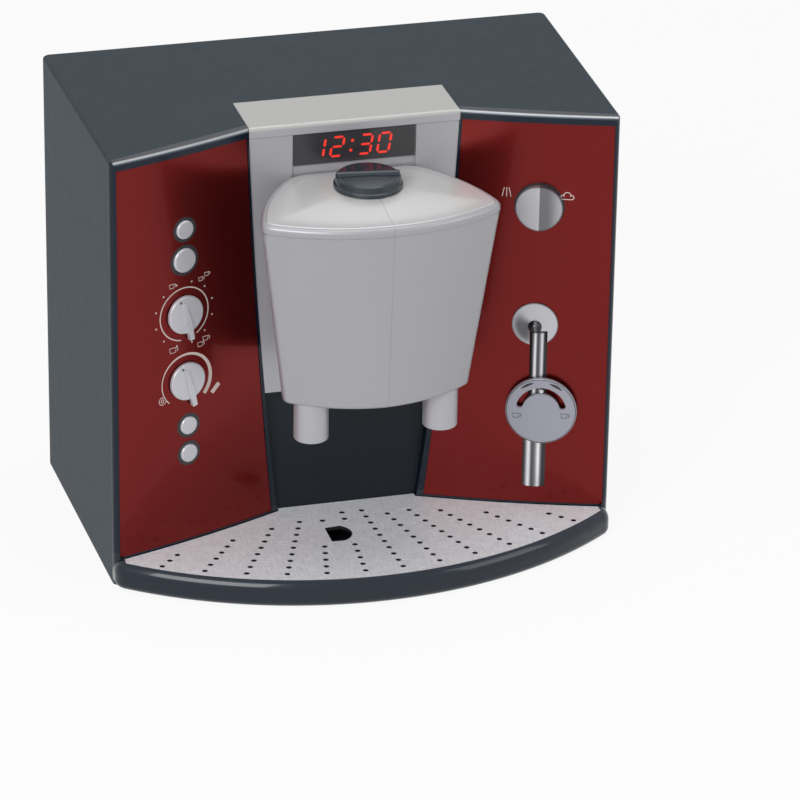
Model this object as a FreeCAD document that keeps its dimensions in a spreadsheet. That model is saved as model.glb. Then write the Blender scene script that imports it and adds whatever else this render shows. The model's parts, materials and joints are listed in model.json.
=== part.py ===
import FreeCAD, Part
import math
import os
import re
import Sketcher

# A toy coffee maker, in millimetres.
# The origin is on the base, under the middle of the whole footprint.
# +X is to the user's right, +Y is to the back and +Z is up.

Vector = FreeCAD.Vector
Rotation = FreeCAD.Rotation
Placement = FreeCAD.Placement

doc = FreeCAD.newDocument("ToyCoffeeMaker")
sheet = doc.addObject("Spreadsheet::Sheet", "Sizes")
aliases = []
nodes = []


def size(alias, value, meaning):
    row = len(aliases) + 1
    sheet.set("A%d" % row, meaning)
    sheet.set("B%d" % row, str(value))
    sheet.setAlias("B%d" % row, alias)
    aliases.append(alias)


# Casing
size("case_half_front", 111, "half width of the casing at its front corners")
size("case_half_back", 114, "half width of the casing at its back")
size("case_height", 197, "height of the casing")
size("case_depth", 127, "front corners to back")
size("front_line", -42, "where the front corners lie, from the origin")
size("wall", 2.5, "wall of the casing")
size("panel_angle", 21, "how far each half of the front turns back")
size("valley_half", 30, "half width of the flat between the two slopes")
size("front_radius", 560, "radius of each slope's gentle outward curve")
size("front_thick", 4.8, "front wall, with the seat of the panels")
size("seat_depth", 2.5, "depth of the seat of a panel")
size("corner_round", 3.2, "rounding of the casing's front corners")
size("edge_round", 1.3, "rounding of the casing's top edges")

# Tray
size("tray_reach", 42.5, "rim in front of the front corners")
size("tray_radius", 175.5, "radius of the rim's outer edge")
size("tray_corner", 7, "rounding of the rim's corners")
size("rim_height", 13.6, "height of the rim")
size("rim_round", 6.7, "rounding of the rim's top")
size("rim_wall", 2.8, "rim between its outer edge and the grille")
size("plate_gap", 0.3, "play round the base plate")
size("plate_front", 5, "base plate behind the rim's outer edge")
size("grille_top", 12.3, "top of the grille")
size("grille_thick", 1.8, "thickness of the grille")
size("grille_gap", 0.25, "play round the grille")
size("ledge", 3, "ledge that carries the grille")
size("grille_half", 106.5, "half width of the grille")
size("hole_radius", 1.25, "drain holes")
size("hole_step", 6.15, "drain hole to drain hole along a row")
size("row_angle", 8.07, "row to row of drain holes")
size("row_focus", 85, "where the rows would meet, behind the front corners")
size("hole_front", 33.3, "foremost drain hole, in front of the front corners")
size("hole_arc", 187, "radius of the arc of the rows' first holes")
size("finger_room", 11, "holes kept clear of the middle of the finger hole")

# Panels
size("panel_inset", 3, "outer edge of a panel from the front corner")
size("panel_inner", 68, "inner edge of a panel from the front corner, at its top")
size("panel_lean", 0.045, "lean of the inner edge at its top")
size("panel_bow", 2780, "radius of the inner edge's bow")
size("panel_top", 193, "top edge of the panels")
size("panel_bottom", 13.3, "bottom edge of the panels")
size("panel_sink", 0.3, "panel below the frame round it")
size("seat_gap", 0.1, "play round a panel")

# Column and recess
size("column_half", 46.2, "half width of the column at its top")
size("column_lean", 0.036, "lean of the column's sides at their top")
size("column_bow", 2130, "radius of the bow of the column's sides")
size("column_face", 24.2, "column face behind the front corners, at its top")
size("column_foot", 27.4, "column face behind the front corners, at its foot")
size("column_bottom", 71.5, "foot of the column")
size("column_skin", 3.2, "thickness of the column")
size("hood_top", 197.5, "top of the hood")
size("hood_back", 52.75, "back edge of the hood")
size("lip_out", 0.8, "lip of the hood in front of the column")
size("lip_bottom", 192.6, "underside of the lip")
size("recess_face", 32.9, "face of the recess wall behind the front corners")
size("window_half", 26.5, "half width of the display window")
size("window_bottom", 178, "lower edge of the display window")
size("window_top", 192.2, "upper edge of the display window")
size("pocket_floor", 25.7, "floor of the display pocket behind the front corners")

# Head
size("head_floor", 87.3, "underside of the head")
size("head_parting", 169.2, "parting line under the head's lip")
size("head_crown", 176, "highest point of the head")
size("head_half", 51.6, "half width of the head at the parting line")
size("head_half_foot", 40.6, "half width of the head at its foot")
size("head_skin", 2.2, "wall of the head")
size("crown_radius", 600, "radius of the head's crowned top")
size("spout_side", 28.4, "spouts from the middle")
size("spout_out", 15.5, "spouts in front of the front corners")
size("spout_radius", 7.5, "outside of a spout")
size("spout_bottom", 69.8, "mouth of the spouts")
size("neck_radius", 12, "outside of the filler neck")
size("neck_bore", 10.5, "inside of the filler neck")
size("neck_back", 1.5, "filler neck behind the front corners")
size("cap_radius", 14.7, "filler cap")

# Controls, measured along a slope from its front corner and up from the base
size("face_out", 1.35, "panel face at the controls, out of the slope's chord")
size("control_gap", 0.35, "gap between a panel and a turning control")
size("button_travel", 1.0, "travel of the buttons")
size("button_out", 0.9, "buttons out of the panel")
size("shaft_radius", 2, "shafts of the turning controls")
size("shaft_play", 0.06, "radial play of a shaft")
size("dial_radius", 8.6, "dials")
size("knob_radius", 10.2, "steam knob")
size("disc_radius", 15.6, "frother disc")
size("slot_radius", 9.7, "curved slot of the frother disc")
size("slot_half", 1.45, "half width of that slot")
size("slot_end", 16, "angle of the slot's ends above the level line")
size("pin_radius", 0.95, "fixed pin in that slot")
size("pipe_half", 3.7, "half width of the steam pipe")
size("sleeve_half", 4.9, "half width of the sleeve on the pipe's lower end")
size("pipe_out", 1.5, "pipe and sleeve out of the panel")
size("pipe_end", 21.5, "lower end of the sleeve")

doc.recompute()


def bound(text):
    """The expression with each size read from the sheet."""
    name = r"[A-Za-z_]\w*"
    return re.sub(name, lambda m: "Sizes." + m.group() if m.group() in aliases else m.group(), text)


def num(text):
    """The value of an expression, in millimetres or as a plain number."""
    return float(sheet.evalExpression(bound(text)))


def bind(thing, **sizes):
    for name, text in sizes.items():
        thing.setExpression(name, bound(text))
    return thing


def put(thing, x, y, z, rotation=None):
    """Place a thing at a point whose coordinates are expressions."""
    thing.Placement = Placement(Vector(0, 0, 0), rotation or Rotation())
    thing.setExpression("Placement.Base.x", bound(x))
    thing.setExpression("Placement.Base.y", bound(y))
    thing.setExpression("Placement.Base.z", bound(z))
    return thing


def behind(text):
    """A distance behind the casing's front corners, as a Y coordinate."""
    return "front_line + (%s)" % text


# Turns of the drawing planes: a front view looks along +Y, a side view along -X
FRONT = Rotation(Vector(1, 0, 0), 90)
SIDE = Rotation(Vector(1, 1, 1), 120)


def box(name, x, y, z, length, width, height):
    """A block from its low corner, along X, Y and Z."""
    return put(bind(doc.addObject("Part::Box", name), Length=length, Width=width, Height=height), x, y, z)


def rod(name, x, y, z, radius, height, turn=None):
    """A cylinder from the middle of its first face, along +Z or as turned."""
    return put(bind(doc.addObject("Part::Cylinder", name), Radius=radius, Height=height), x, y, z, turn)


BACKWARD = Rotation(Vector(1, 0, 0), -90)


def fuse(name, parts):
    joined = doc.addObject("Part::MultiFuse", name)
    joined.Shapes = parts
    joined.Refine = True
    return joined


def cut(name, base, tools):
    tool = tools[0] if len(tools) == 1 else fuse(name + "_tools", tools)
    rest = doc.addObject("Part::Cut", name)
    rest.Base = base
    rest.Tool = tool
    rest.Refine = True
    return rest


def common(name, first, second):
    shared = doc.addObject("Part::Common", name)
    shared.Base = first
    shared.Tool = second
    shared.Refine = True
    return shared


def mirror(name, source):
    other = doc.addObject("Part::Mirroring", name)
    other.Source = source
    other.Normal = Vector(1, 0, 0)
    return other


def sketch(name, points, turn=None, at=("0", "0", "0")):
    """A closed outline. A point is (x, y) or (x, y, radius) where a curve to the next point starts.

    The curve of a positive radius bulges to the right of the way round, of a negative one to the left.
    """
    outline = doc.addObject("Sketcher::SketchObject", name)
    put(outline, at[0], at[1], at[2], turn)
    corners = [Vector(num(p[0]), num(p[1]), 0) for p in points]
    ends = []
    for i, point in enumerate(points):
        a = corners[i]
        b = corners[(i + 1) % len(points)]
        if len(point) == 2:
            outline.addGeometry(Part.LineSegment(a, b), False)
            ends.append((1, 2))
            continue
        radius = num(point[2])
        chord = b - a
        side = Vector(-chord.y, chord.x, 0).normalize()
        reach = math.sqrt(radius ** 2 - (chord.Length / 2) ** 2)
        centre = (a + b) * 0.5 + side * math.copysign(reach, radius)
        start = math.atan2(a.y - centre.y, a.x - centre.x)
        stop = math.atan2(b.y - centre.y, b.x - centre.x)
        circle = Part.Circle(centre, Vector(0, 0, 1), abs(radius))
        if radius > 0:
            outline.addGeometry(Part.ArcOfCircle(circle, start, stop), False)
            ends.append((1, 2))
        else:
            outline.addGeometry(Part.ArcOfCircle(circle, stop, start), False)
            ends.append((2, 1))
    count = len(points)
    for i in range(count):
        follow = (i + 1) % count
        outline.addConstraint(Sketcher.Constraint("Coincident", i, ends[i][1], follow, ends[follow][0]))
    for i, point in enumerate(points):
        corner = corners[i]
        across = outline.addConstraint(Sketcher.Constraint("DistanceX", -1, 1, i, ends[i][0], corner.x))
        outline.setExpression("Constraints[%d]" % across, bound(point[0]))
        up = outline.addConstraint(Sketcher.Constraint("DistanceY", -1, 1, i, ends[i][0], corner.y))
        outline.setExpression("Constraints[%d]" % up, bound(point[1]))
        if len(point) == 3:
            sweep = outline.addConstraint(Sketcher.Constraint("Radius", i, abs(num(point[2]))))
            outline.setExpression("Constraints[%d]" % sweep, bound("abs(%s)" % point[2]))
    return outline


def both_sides(half, closing=None):
    """A full outline from its right half, listed from the front middle to the back middle."""
    full = [tuple(p) for p in half]
    for i in range(len(half) - 1, -1, -1):
        point = half[i]
        if point[0] == "0":
            continue
        curve = half[i - 1][2:] if i > 0 else ()
        if i == 0 and closing:
            curve = (closing,)
        full.append(("-(%s)" % point[0], point[1]) + tuple(curve))
    return full


def extrude(name, outline, length, direction=(0, 0, 1)):
    solid = doc.addObject("Part::Extrusion", name)
    solid.Base = outline
    solid.DirMode = "Custom"
    solid.Dir = Vector(*direction)
    solid.Solid = True
    return bind(solid, LengthFwd=length)


def loft(name, outlines):
    solid = doc.addObject("Part::Loft", name)
    solid.Sections = outlines
    solid.Solid = True
    solid.Ruled = True
    return solid


def rounded(name, base, choices):
    """Round edges. Each choice is a test of an edge and the expression of its radius."""
    doc.recompute()
    edges = []
    for number, edge in enumerate(base.Shape.Edges, 1):
        for test, radius in choices:
            if test(edge):
                edges.append((number, num(radius), num(radius)))
                break
    soft = doc.addObject("Part::Fillet", name)
    soft.Base = base
    soft.Edges = edges
    return soft


def spans(edge, axis):
    """How far an edge reaches along an axis."""
    low, high = {
        "x": (edge.BoundBox.XMin, edge.BoundBox.XMax),
        "y": (edge.BoundBox.YMin, edge.BoundBox.YMax),
        "z": (edge.BoundBox.ZMin, edge.BoundBox.ZMax),
    }[axis]
    return high - low


def level(edge, height):
    """True for an edge that lies flat at a height."""
    return spans(edge, "z") < 0.01 and abs(edge.BoundBox.ZMin - height) < 0.01


def node(thing, label):
    thing.Label = label
    nodes.append(thing)
    return thing


# The frame of each slope: X to the viewer's right, Y up, Z out of the panel
TURN = {
    -1: Rotation(Vector(0, 0, 1), num("panel_angle")).multiply(FRONT),
    1: Rotation(Vector(0, 0, 1), -num("panel_angle")).multiply(FRONT),
}


def on_panel(thing, side, along, up, out):
    """Stand a thing on the left (-1) or right (1) slope; along is measured from the front corner."""
    x = "%d * (case_half_front - (%s) * cos(panel_angle) - (%s) * sin(panel_angle))" % (side, along, out)
    y = "front_line + (%s) * sin(panel_angle) - (%s) * cos(panel_angle)" % (along, out)
    return put(thing, x, y, up, TURN[side])


def panel_rod(name, side, along, up, out, radius, height):
    """A cylinder square to a slope; it starts at out and stands outwards."""
    bar = bind(doc.addObject("Part::Cylinder", name), Radius=radius, Height=height)
    return on_panel(bar, side, along, up, out)


def panel_box(name, side, along, up, out, length, height, depth):
    """A block on a slope, centred on its place across and up."""
    block = bind(doc.addObject("Part::Box", name), Length=length, Width=height, Height=depth)
    shift = "(%s) + %d * (%s) / 2" % (along, side, length)
    return on_panel(block, side, shift, "(%s) - (%s) / 2" % (up, height), out)


# Housing: the upper shell and the tray surround are one moulding
slope = "(case_half_front - %s) * tan(panel_angle)"
valley = slope % "valley_half"
shell_plan = sketch("shell_plan", both_sides([
    ("valley_half", behind(valley), "front_radius"),
    ("case_half_front", "front_line"),
    ("case_half_back", behind("case_depth")),
]))
shell_block = extrude("shell_block", shell_plan, "case_height")
case_top = num("case_height")
front_corner = num("case_half_front")
shell = rounded("shell", shell_block, [
    (lambda e: spans(e, "z") > 100 and abs(abs(e.BoundBox.XMin) - front_corner) < 0.1, "corner_round"),
    (lambda e: spans(e, "z") > 100 and e.BoundBox.YMin > 50, "corner_round"),
    (lambda e: level(e, case_top), "edge_round"),
])

# The rim's outer arc meets the line of the casing's side just in front of the front corner
rim_corner = "tray_reach - tray_radius + sqrt(tray_radius ^ 2 - case_half_front ^ 2)"
flare = "(case_half_back - case_half_front) / case_depth"
tray_plan = sketch("tray_plan", both_sides([
    ("case_half_front - (%s) * %s" % (rim_corner, flare), behind("-(%s)" % rim_corner)),
    ("case_half_front + 40 * %s" % flare, behind("40")),
], closing="tray_radius"))
tray_block = extrude("tray_block", tray_plan, "rim_height")
tray_turned = rounded("tray_turned", tray_block, [
    (lambda e: spans(e, "z") > 10 and e.BoundBox.YMax < 0, "tray_corner"),
])
rim_top = num("rim_height")
front_half = num(behind("30"))
tray = rounded("tray", tray_turned, [
    (lambda e: level(e, rim_top) and e.BoundBox.YMin < front_half, "rim_round"),
    (lambda e: level(e, 0) and e.BoundBox.YMin < front_half, "3.5"),
])
outside = fuse("outside", [shell, tray])

# Hollow behind the front wall, open at the bottom and the back
inner_line = "(case_half_front - (%s)) * tan(panel_angle) + front_thick / cos(panel_angle)"
hollow_plan = sketch("hollow_plan", both_sides([
    ("valley_half - 2", behind(inner_line % "valley_half - 2")),
    ("case_half_front - wall", behind(inner_line % "case_half_front - wall")),
    ("case_half_back - wall", behind("case_depth + 1")),
]), at=("0", "0", "-1"))
hollow = extrude("hollow", hollow_plan, "case_height - wall + 1")

# Opening for the column and the recess wall, leaning in towards its foot


def column_side(height, play="0"):
    """Half width of the column at a height: its sides lean in and bow a little."""
    down = "(hood_top - (%s))" % height
    return "column_half + (%s) - %s * column_lean - %s ^ 2 / (2 * column_bow)" % (play, down, down)


opening_plan = sketch("opening_plan", both_sides([
    (column_side("wall", "0.15"), "wall", "column_bow"),
    (column_side("case_height + 3", "0.15"), "case_height + 3"),
]), turn=FRONT, at=("0", behind("hood_back + 0.15"), "0"))
opening = extrude("opening", opening_plan, "80", (0, -1, 0))

# Place for the grille, and the drip well under it
wall_line = "(case_half_front - (%s)) * tan(panel_angle) - (%s) / cos(panel_angle)"


def tray_outline(inset, front_inset, panel_inset, tail=None):
    """The lens between the rim and the two slopes, drawn in; a tail runs on back to the recess wall."""
    half = "grille_half - %s" % inset
    radius = "tray_radius - rim_wall - %s" % front_inset
    front = "-(tray_reach - rim_wall - %s) + (%s)" % (front_inset, radius)
    front += " - sqrt((%s) ^ 2 - (%s) ^ 2)" % (radius, half)
    inner = "valley_half" if tail is None else "valley_half + 1"
    outline = [
        (half, behind(front)),
        (half, behind(wall_line % (half, panel_inset)), "-front_radius"),
        (inner, behind(wall_line % (inner, panel_inset))),
    ]
    if tail is not None:
        outline.append((inner, behind(tail)))
    return both_sides(outline, closing=radius)


place_low = "grille_top - grille_thick"
place_plan = sketch("place_plan", tray_outline("(-grille_gap)", "0", "0"), at=("0", "0", place_low))
place = extrude("place", place_plan, "20")
well_plan = sketch("well_plan", tray_outline("ledge", "ledge", "ledge"), at=("0", "0", "0"))
well = extrude("well", well_plan, "grille_top")


def plate_outline(play):
    """The base plate's outline, under the tray and the casing alike."""
    half = "case_half_front - 6 + (%s)" % play
    radius = "tray_radius - plate_front + (%s)" % play
    sag = "(%s) - sqrt((%s) ^ 2 - (%s) ^ 2)" % (radius, radius, half)
    front = "-(tray_reach - plate_front + (%s)) + " % play + sag
    return both_sides([
        (half, behind(front)),
        ("case_half_front - wall + (%s)" % play, behind("7")),
        ("case_half_back - wall + (%s)" % play, behind("case_depth")),
    ], closing=radius)


plate_seat_plan = sketch("plate_seat_plan", plate_outline("0"), at=("0", "0", "-1"))
plate_seat = extrude("plate_seat", plate_seat_plan, "wall + 1.05")

# Seats for the two panels
panel_drop = "(panel_top - panel_bottom)"
panel_foot = "panel_inner + %s * panel_lean + %s ^ 2 / (2 * panel_bow)" % (panel_drop, panel_drop)


def panel_outline(play):
    """The outline of the left panel in its own frame; its inner edge leans and bows a little."""
    return [
        ("panel_inset - %s" % play, "panel_bottom - %s" % play),
        (panel_foot + " + %s" % play, "panel_bottom - %s" % play, "-panel_bow"),
        ("panel_inner + %s" % play, "panel_top + %s" % play),
        ("panel_inset - %s" % play, "panel_top + %s" % play),
    ]


seat_sketch = sketch("seat_sketch", panel_outline("seat_gap"))
on_panel(seat_sketch, -1, "0", "0", "-seat_depth")
doc.recompute()
left_out = TURN[-1].multVec(Vector(0, 0, 1))
left_seat = extrude("left_seat", seat_sketch, "10", tuple(left_out))
right_seat = mirror("right_seat", left_seat)

# Posts for the screws: four on the base, four behind the back cover
post_low = "wall + 0.1"
post_size = "8"


def corner_posts():
    posts = []
    for side in (-1, 1):
        name = "left" if side < 0 else "right"
        for spot, y, out in (("front", "12", "1"), ("rear", "84", "-0.6")):
            reach = "%d * (case_half_front - (%s)) - %s" % (side, out, "0" if side < 0 else "12")
            posts.append(box("%s_%s_post" % (name, spot), reach, behind(y), post_low, "12", post_size, "16"))
        wide = "%d * (case_half_front + 1) - %s" % (side, "0" if side < 0 else "14")
        for height, up in (("low", "24"), ("high", "case_height - wall - 9.8")):
            deep = "case_depth - wall - 100.2"
            posts.append(box("%s_%s_post" % (name, height), wide, behind("100"), up, "14", deep, "10"))
    return posts


base_screw_x = "case_half_front - 8"
base_screw_y = ("16", "88")
cover_screw_x = "case_half_front - 8"
cover_screw_z = ("29", "case_height - wall - 4.8")


def pilot_holes():
    holes = []
    for side in (-1, 1):
        for i, y in enumerate(base_screw_y):
            spot = "%d * (%s)" % (side, base_screw_x)
            holes.append(rod("base_pilot_%d%d" % (side + 1, i), spot, behind(y), "0", "1.1", "12"))
        for i, z in enumerate(cover_screw_z):
            spot = "%d * (%s)" % (side, cover_screw_x)
            pilot_y = behind("case_depth - 14")
            holes.append(rod("cover_pilot_%d%d" % (side + 1, i), spot, pilot_y, z, "1.1", "14", BACKWARD))
    return holes


# Places of the controls on the slopes
button_places = {
    "button_1": ("36.1", "159.3", "4.2"),
    "button_2": ("35.9", "145.3", "5.5"),
    "button_3": ("37.6", "67.6", "4.2"),
    "button_4": ("37.7", "54.4", "4.2"),
}
turning_places = {
    "upper_dial": (-1, "35.7", "120.5"),
    "lower_dial": (-1, "36.6", "89.1"),
    "steam_knob": (1, "34.2", "154.7"),
    "frother_disc": (1, "30.8", "59.1"),
}
rosette_place = ("34.6", "99.3")
pin_place = ("30.8", "59.1 + slot_radius")
column_screw_places = [("63", "180"), ("70", "90")]
inner_face = "-front_thick"


def control_holes(play, owner):
    """Holes through a slope for the buttons and the shafts, on one side or both."""
    holes = []
    for name, (along, up, radius) in button_places.items():
        wide = "%s + %s" % (radius, play)
        holes.append((-1, panel_rod("%s_%s_hole" % (owner, name), -1, along, up, "-12", wide, "24")))
    for name, (side, along, up) in turning_places.items():
        wide = "shaft_radius + shaft_play"
        holes.append((side, panel_rod("%s_%s_hole" % (owner, name), side, along, up, "-12", wide, "24")))
    return holes


board_posts = [
    panel_rod("board_post_low", -1, "36.6", "105", "-11.9", "2.4", "8.5"),
    panel_rod("board_post_high", -1, "36.2", "172", "-11.9", "2.4", "8.5"),
    panel_rod("board_peg_low", -1, "36.6", "105", "-14.2", "1.3", "3"),
    panel_rod("board_peg_high", -1, "36.2", "172", "-14.2", "1.3", "3"),
]
column_pilots = []
for side in (-1, 1):
    for i, (along, up) in enumerate(column_screw_places):
        name = "column_pilot_%d%d" % (side + 1, i)
        column_pilots.append(panel_rod(name, side, along, up, "-front_thick - 1", "1", "2.9"))

housing_rooms = [hollow, opening, place, well, plate_seat, left_seat, right_seat]
housing_open = cut("housing_open", outside, housing_rooms)
housing_full = fuse("housing_full", [housing_open] + corner_posts() + board_posts)
housing_holes = [hole for side, hole in control_holes("0.25", "housing")]
pin_hole_radius = "pin_radius + 0.03"
pin_hole = panel_rod("pin_hole", 1, pin_place[0], pin_place[1], "-front_thick + 1", pin_hole_radius, "10")
housing_cuts = pilot_holes() + housing_holes + column_pilots + [pin_hole]
housing = node(cut("housing", housing_full, housing_cuts), "housing")

# Base plate
base_plan = sketch("base_plan", plate_outline("-plate_gap"))
base_blank = extrude("base_blank", base_plan, "wall")
board_spots = [("-28", "62"), ("28", "62"), ("-28", "96"), ("28", "96")]
base_posts = []
for i, (x, y) in enumerate(board_spots):
    base_posts.append(rod("board_stand_%d" % i, x, behind(y), "wall - 0.5", "3", "6"))
    base_posts.append(rod("board_stud_%d" % i, x, behind(y), "wall", "1.4", "9.5"))
base_full = fuse("base_full", [base_blank] + base_posts)
base_holes = []
for side in (-1, 1):
    for i, y in enumerate(base_screw_y):
        spot = "%d * (%s)" % (side, base_screw_x)
        base_holes.append(rod("base_hole_%d%d" % (side + 1, i), spot, behind(y), "-1", "1.5", "6"))
        base_holes.append(rod("base_sink_%d%d" % (side + 1, i), spot, behind(y), "-1", "2.9", "2.3"))
base_plate = node(cut("base_plate", base_full, base_holes), "base_plate")

# Back cover, with its battery hatch and the speaker's slots
hatch_x = "-40"
hatch_low = "30"
hatch_width = "54"
hatch_height = "62"
speaker_x = "48"
speaker_z = "120"
cover_half = "case_half_back - wall - 0.35"
cover_blank = box("cover_blank", "-(%s)" % cover_half, behind("case_depth - wall"), "wall + 0.2",
                  "2 * (%s)" % cover_half, "wall", "case_height - 2 * wall - 0.5")
cover_cuts = [
    box("hatch_hole", "%s - (%s) / 2 + 3" % (hatch_x, hatch_width), behind("case_depth - wall - 1"),
        "%s + 7.5" % hatch_low, "%s - 6" % hatch_width, "10", "%s - 10.5" % hatch_height),
    box("hatch_seat", "%s - (%s) / 2" % (hatch_x, hatch_width), behind("case_depth - 1.6"),
        hatch_low, hatch_width, "10", hatch_height),
    rod("hatch_pilot", hatch_x, behind("case_depth - 12"), "%s + 3.5" % hatch_low, "1.35", "14", BACKWARD),
]
for side in (-1, 1):
    for i, z in enumerate(cover_screw_z):
        spot = "%d * (%s)" % (side, cover_screw_x)
        corner = "%d%d" % (side + 1, i)
        hole = rod("cover_hole_" + corner, spot, behind("case_depth - 8"), z, "1.5", "10", BACKWARD)
        sink = rod("cover_sink_" + corner, spot, behind("case_depth - 1.3"), z, "2.9", "4", BACKWARD)
        cover_cuts += [hole, sink]
slot_pitch = 6
slot_lengths = [14, 24, 30, 30, 24, 14]
for i, length in enumerate(slot_lengths):
    z = "%s + %g" % (speaker_z, (i - (len(slot_lengths) - 1) / 2) * slot_pitch - 1)
    slot = box("speaker_slot_%d" % i, "%s - %g" % (speaker_x, length / 2), behind("case_depth - 6"), z,
               "%g" % length, "8", "2")
    cover_cuts.append(slot)
hatch_boss = rod(
    "hatch_boss", hatch_x, behind("case_depth - 6.5"), "%s + 3.5" % hatch_low, "3", "5", BACKWARD
)
cover_full = fuse("cover_full", [cover_blank, hatch_boss])
rear_cover = node(cut("rear_cover", cover_full, cover_cuts), "rear_cover")

# Left and right panels
blank_sketch = sketch("blank_sketch", panel_outline("0"))
on_panel(blank_sketch, -1, "0", "0", "-seat_depth + 0.05")
doc.recompute()
left_slab = extrude("left_slab", blank_sketch, "8", tuple(left_out))
chord = "(case_half_front - valley_half) / cos(panel_angle)"
middle_x = "-(case_half_front + valley_half) / 2"
middle_y = "(case_half_front - valley_half) * tan(panel_angle) / 2"
rise = "sqrt(front_radius ^ 2 - (%s) ^ 2 / 4)" % chord
roller_x = middle_x + " - sin(panel_angle) * %s" % rise
roller_y = middle_y + " + cos(panel_angle) * %s" % rise
roller = rod("roller", roller_x, behind(roller_y), "0", "front_radius - panel_sink", "case_height")
left_blank = common("left_blank", left_slab, roller)
right_blank = mirror("right_blank", left_blank)
left_tools = [hole for side, hole in control_holes("0.25", "left") if side < 0]
right_tools = [hole for side, hole in control_holes("0.25", "right") if side > 0]
right_pin_hole = panel_rod(
    "right_pin_hole", 1, pin_place[0], pin_place[1], "-front_thick", pin_hole_radius, "10"
)
left_panel = node(cut("left_panel", left_blank, left_tools), "left_panel")
right_panel = node(cut("right_panel", right_blank, right_tools + [right_pin_hole]), "right_panel")

# Column with its hood
column_profile = sketch("column_profile", [
    (behind("column_face - lip_out"), "hood_top"),
    (behind("column_face - lip_out"), "lip_bottom"),
    (behind("column_face"), "lip_bottom"),
    (behind("column_foot"), "column_bottom"),
    (behind("column_foot + column_skin"), "column_bottom"),
    (behind("column_face + column_skin"), "case_height - wall"),
    (behind("hood_back"), "case_height - wall"),
    (behind("hood_back"), "hood_top"),
], turn=SIDE, at=("-60", "0", "0"))
column_strip = extrude("column_strip", column_profile, "120", (1, 0, 0))
mask_plan = sketch("mask_plan", both_sides([
    (column_side("column_bottom"), "column_bottom", "column_bow"),
    (column_side("hood_top"), "hood_top"),
]), turn=FRONT, at=("0", behind("hood_back"), "0"))
mask = extrude("mask", mask_plan, "60", (0, -1, 0))
inner_mask_plan = sketch("inner_mask_plan", both_sides([
    (column_side("column_bottom - 5", "-2.2"), "column_bottom - 5", "column_bow"),
    (column_side("case_height - wall", "-2.2"), "case_height - wall"),
]), turn=FRONT, at=("0", behind("hood_back"), "0"))
inner_mask = extrude("inner_mask", inner_mask_plan, "60", (0, -1, 0))
column_front = common("column_front", column_strip, mask)
wing_block = box("wing_block", "-60", behind("column_foot + 1"), "column_bottom", "120", "12",
                 "case_height - wall - column_bottom")
wings_wide = common("wings_wide", wing_block, mask)
wings = cut("wings", wings_wide, [inner_mask])
tabs = []
tab_holes = []
for side in (-1, 1):
    for i, (along, up) in enumerate(column_screw_places):
        name = "column_tab_%d%d" % (side + 1, i)
        tabs.append(panel_box(name, side, along + " + 3", up, "-front_thick - 2.1", "13", "9", "2"))
        tab_holes.append(panel_rod("tab_hole_%d%d" % (side + 1, i), side, along, up, "-12", "1.15", "9"))
head_screw_places = [("-18", "112"), ("18", "112"), ("-18", "156"), ("18", "156")]
head_holes = []
for i, (x, z) in enumerate(head_screw_places):
    head_holes.append(rod("head_hole_%d" % i, x, behind("18"), z, "1.5", "20", BACKWARD))
window_pocket = box("window_pocket", "-window_half - 0.6", behind("10"), "head_parting + 1",
                    "2 * window_half + 1.2", "pocket_floor - 10", "window_top + 0.2 - head_parting - 1")
window_hole = box("window_hole", "-window_half + 3", behind("20"), "window_bottom + 2",
                  "2 * window_half - 6", "12", "window_top - window_bottom - 4")
column_raw = fuse("column_raw", [column_front, wings] + tabs)
column_cut = cut("column_cut", column_raw, head_holes + tab_holes + [window_pocket, window_hole])
lip_front = num(behind("column_face - lip_out"))
hood_level = num("hood_top")
column = node(rounded("column", column_cut, [
    (lambda e: level(e, hood_level) and abs(e.BoundBox.YMax - lip_front) < 0.01, "1.7"),
    (lambda e: level(e, hood_level) and e.BoundBox.YMax > lip_front + 1, "0.5"),
    (lambda e: level(e, num("lip_bottom")) and abs(e.BoundBox.YMax - lip_front) < 0.01, "0.35"),
]), "column")

# Recess wall
recess_sketch = sketch("recess_sketch", both_sides([
    (column_side("wall + 0.1"), "wall + 0.1", "column_bow"),
    (column_side("column_bottom - 0.2"), "column_bottom - 0.2"),
]), turn=FRONT, at=("0", behind("recess_face + 2.5"), "0"))
recess_plate = extrude("recess_plate", recess_sketch, "2.5", (0, -1, 0))
recess_ears = []
for side in (-1, 1):
    x = "27" if side > 0 else "-45"
    ear = "recess_ear_%d" % (side + 1)
    recess_ears.append(box(ear, x, behind("recess_face + 2.4"), "56", "18", "2", "12"))
recess_wall = node(fuse("recess_wall", [recess_plate] + recess_ears), "recess_wall")

# Display window and the board behind it
display_window = node(box("display_window", "-window_half", behind("pocket_floor - 1.1"), "window_bottom",
                          "2 * window_half", "1.1", "window_top - window_bottom"), "display_window")
board_back = "column_face + column_skin + 1.1"
display_board = node(fuse("display_board", [
    box("display_base", "-26", behind(board_back), "window_bottom - 1", "52", "1.6", "16"),
    box("display_light", "-20", behind("pocket_floor + 0.3"), "window_bottom + 3", "40",
        board_back + " - pocket_floor - 0.3", "8"),
]), "display_board")


# Head
def head_outline(apex, half, corner, side_x, back, height):
    """A plan of the head: two front arcs that meet in a soft crease, and curved sides."""
    return sketch(height[0], both_sides([
        ("0", behind(apex), "(%s) * 1.68" % half),
        (half, behind(corner), "(%s) * 1.8" % half),
        (side_x, behind(back)),
        ("0", behind(back)),
    ]), at=("0", "0", height[1]))


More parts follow.
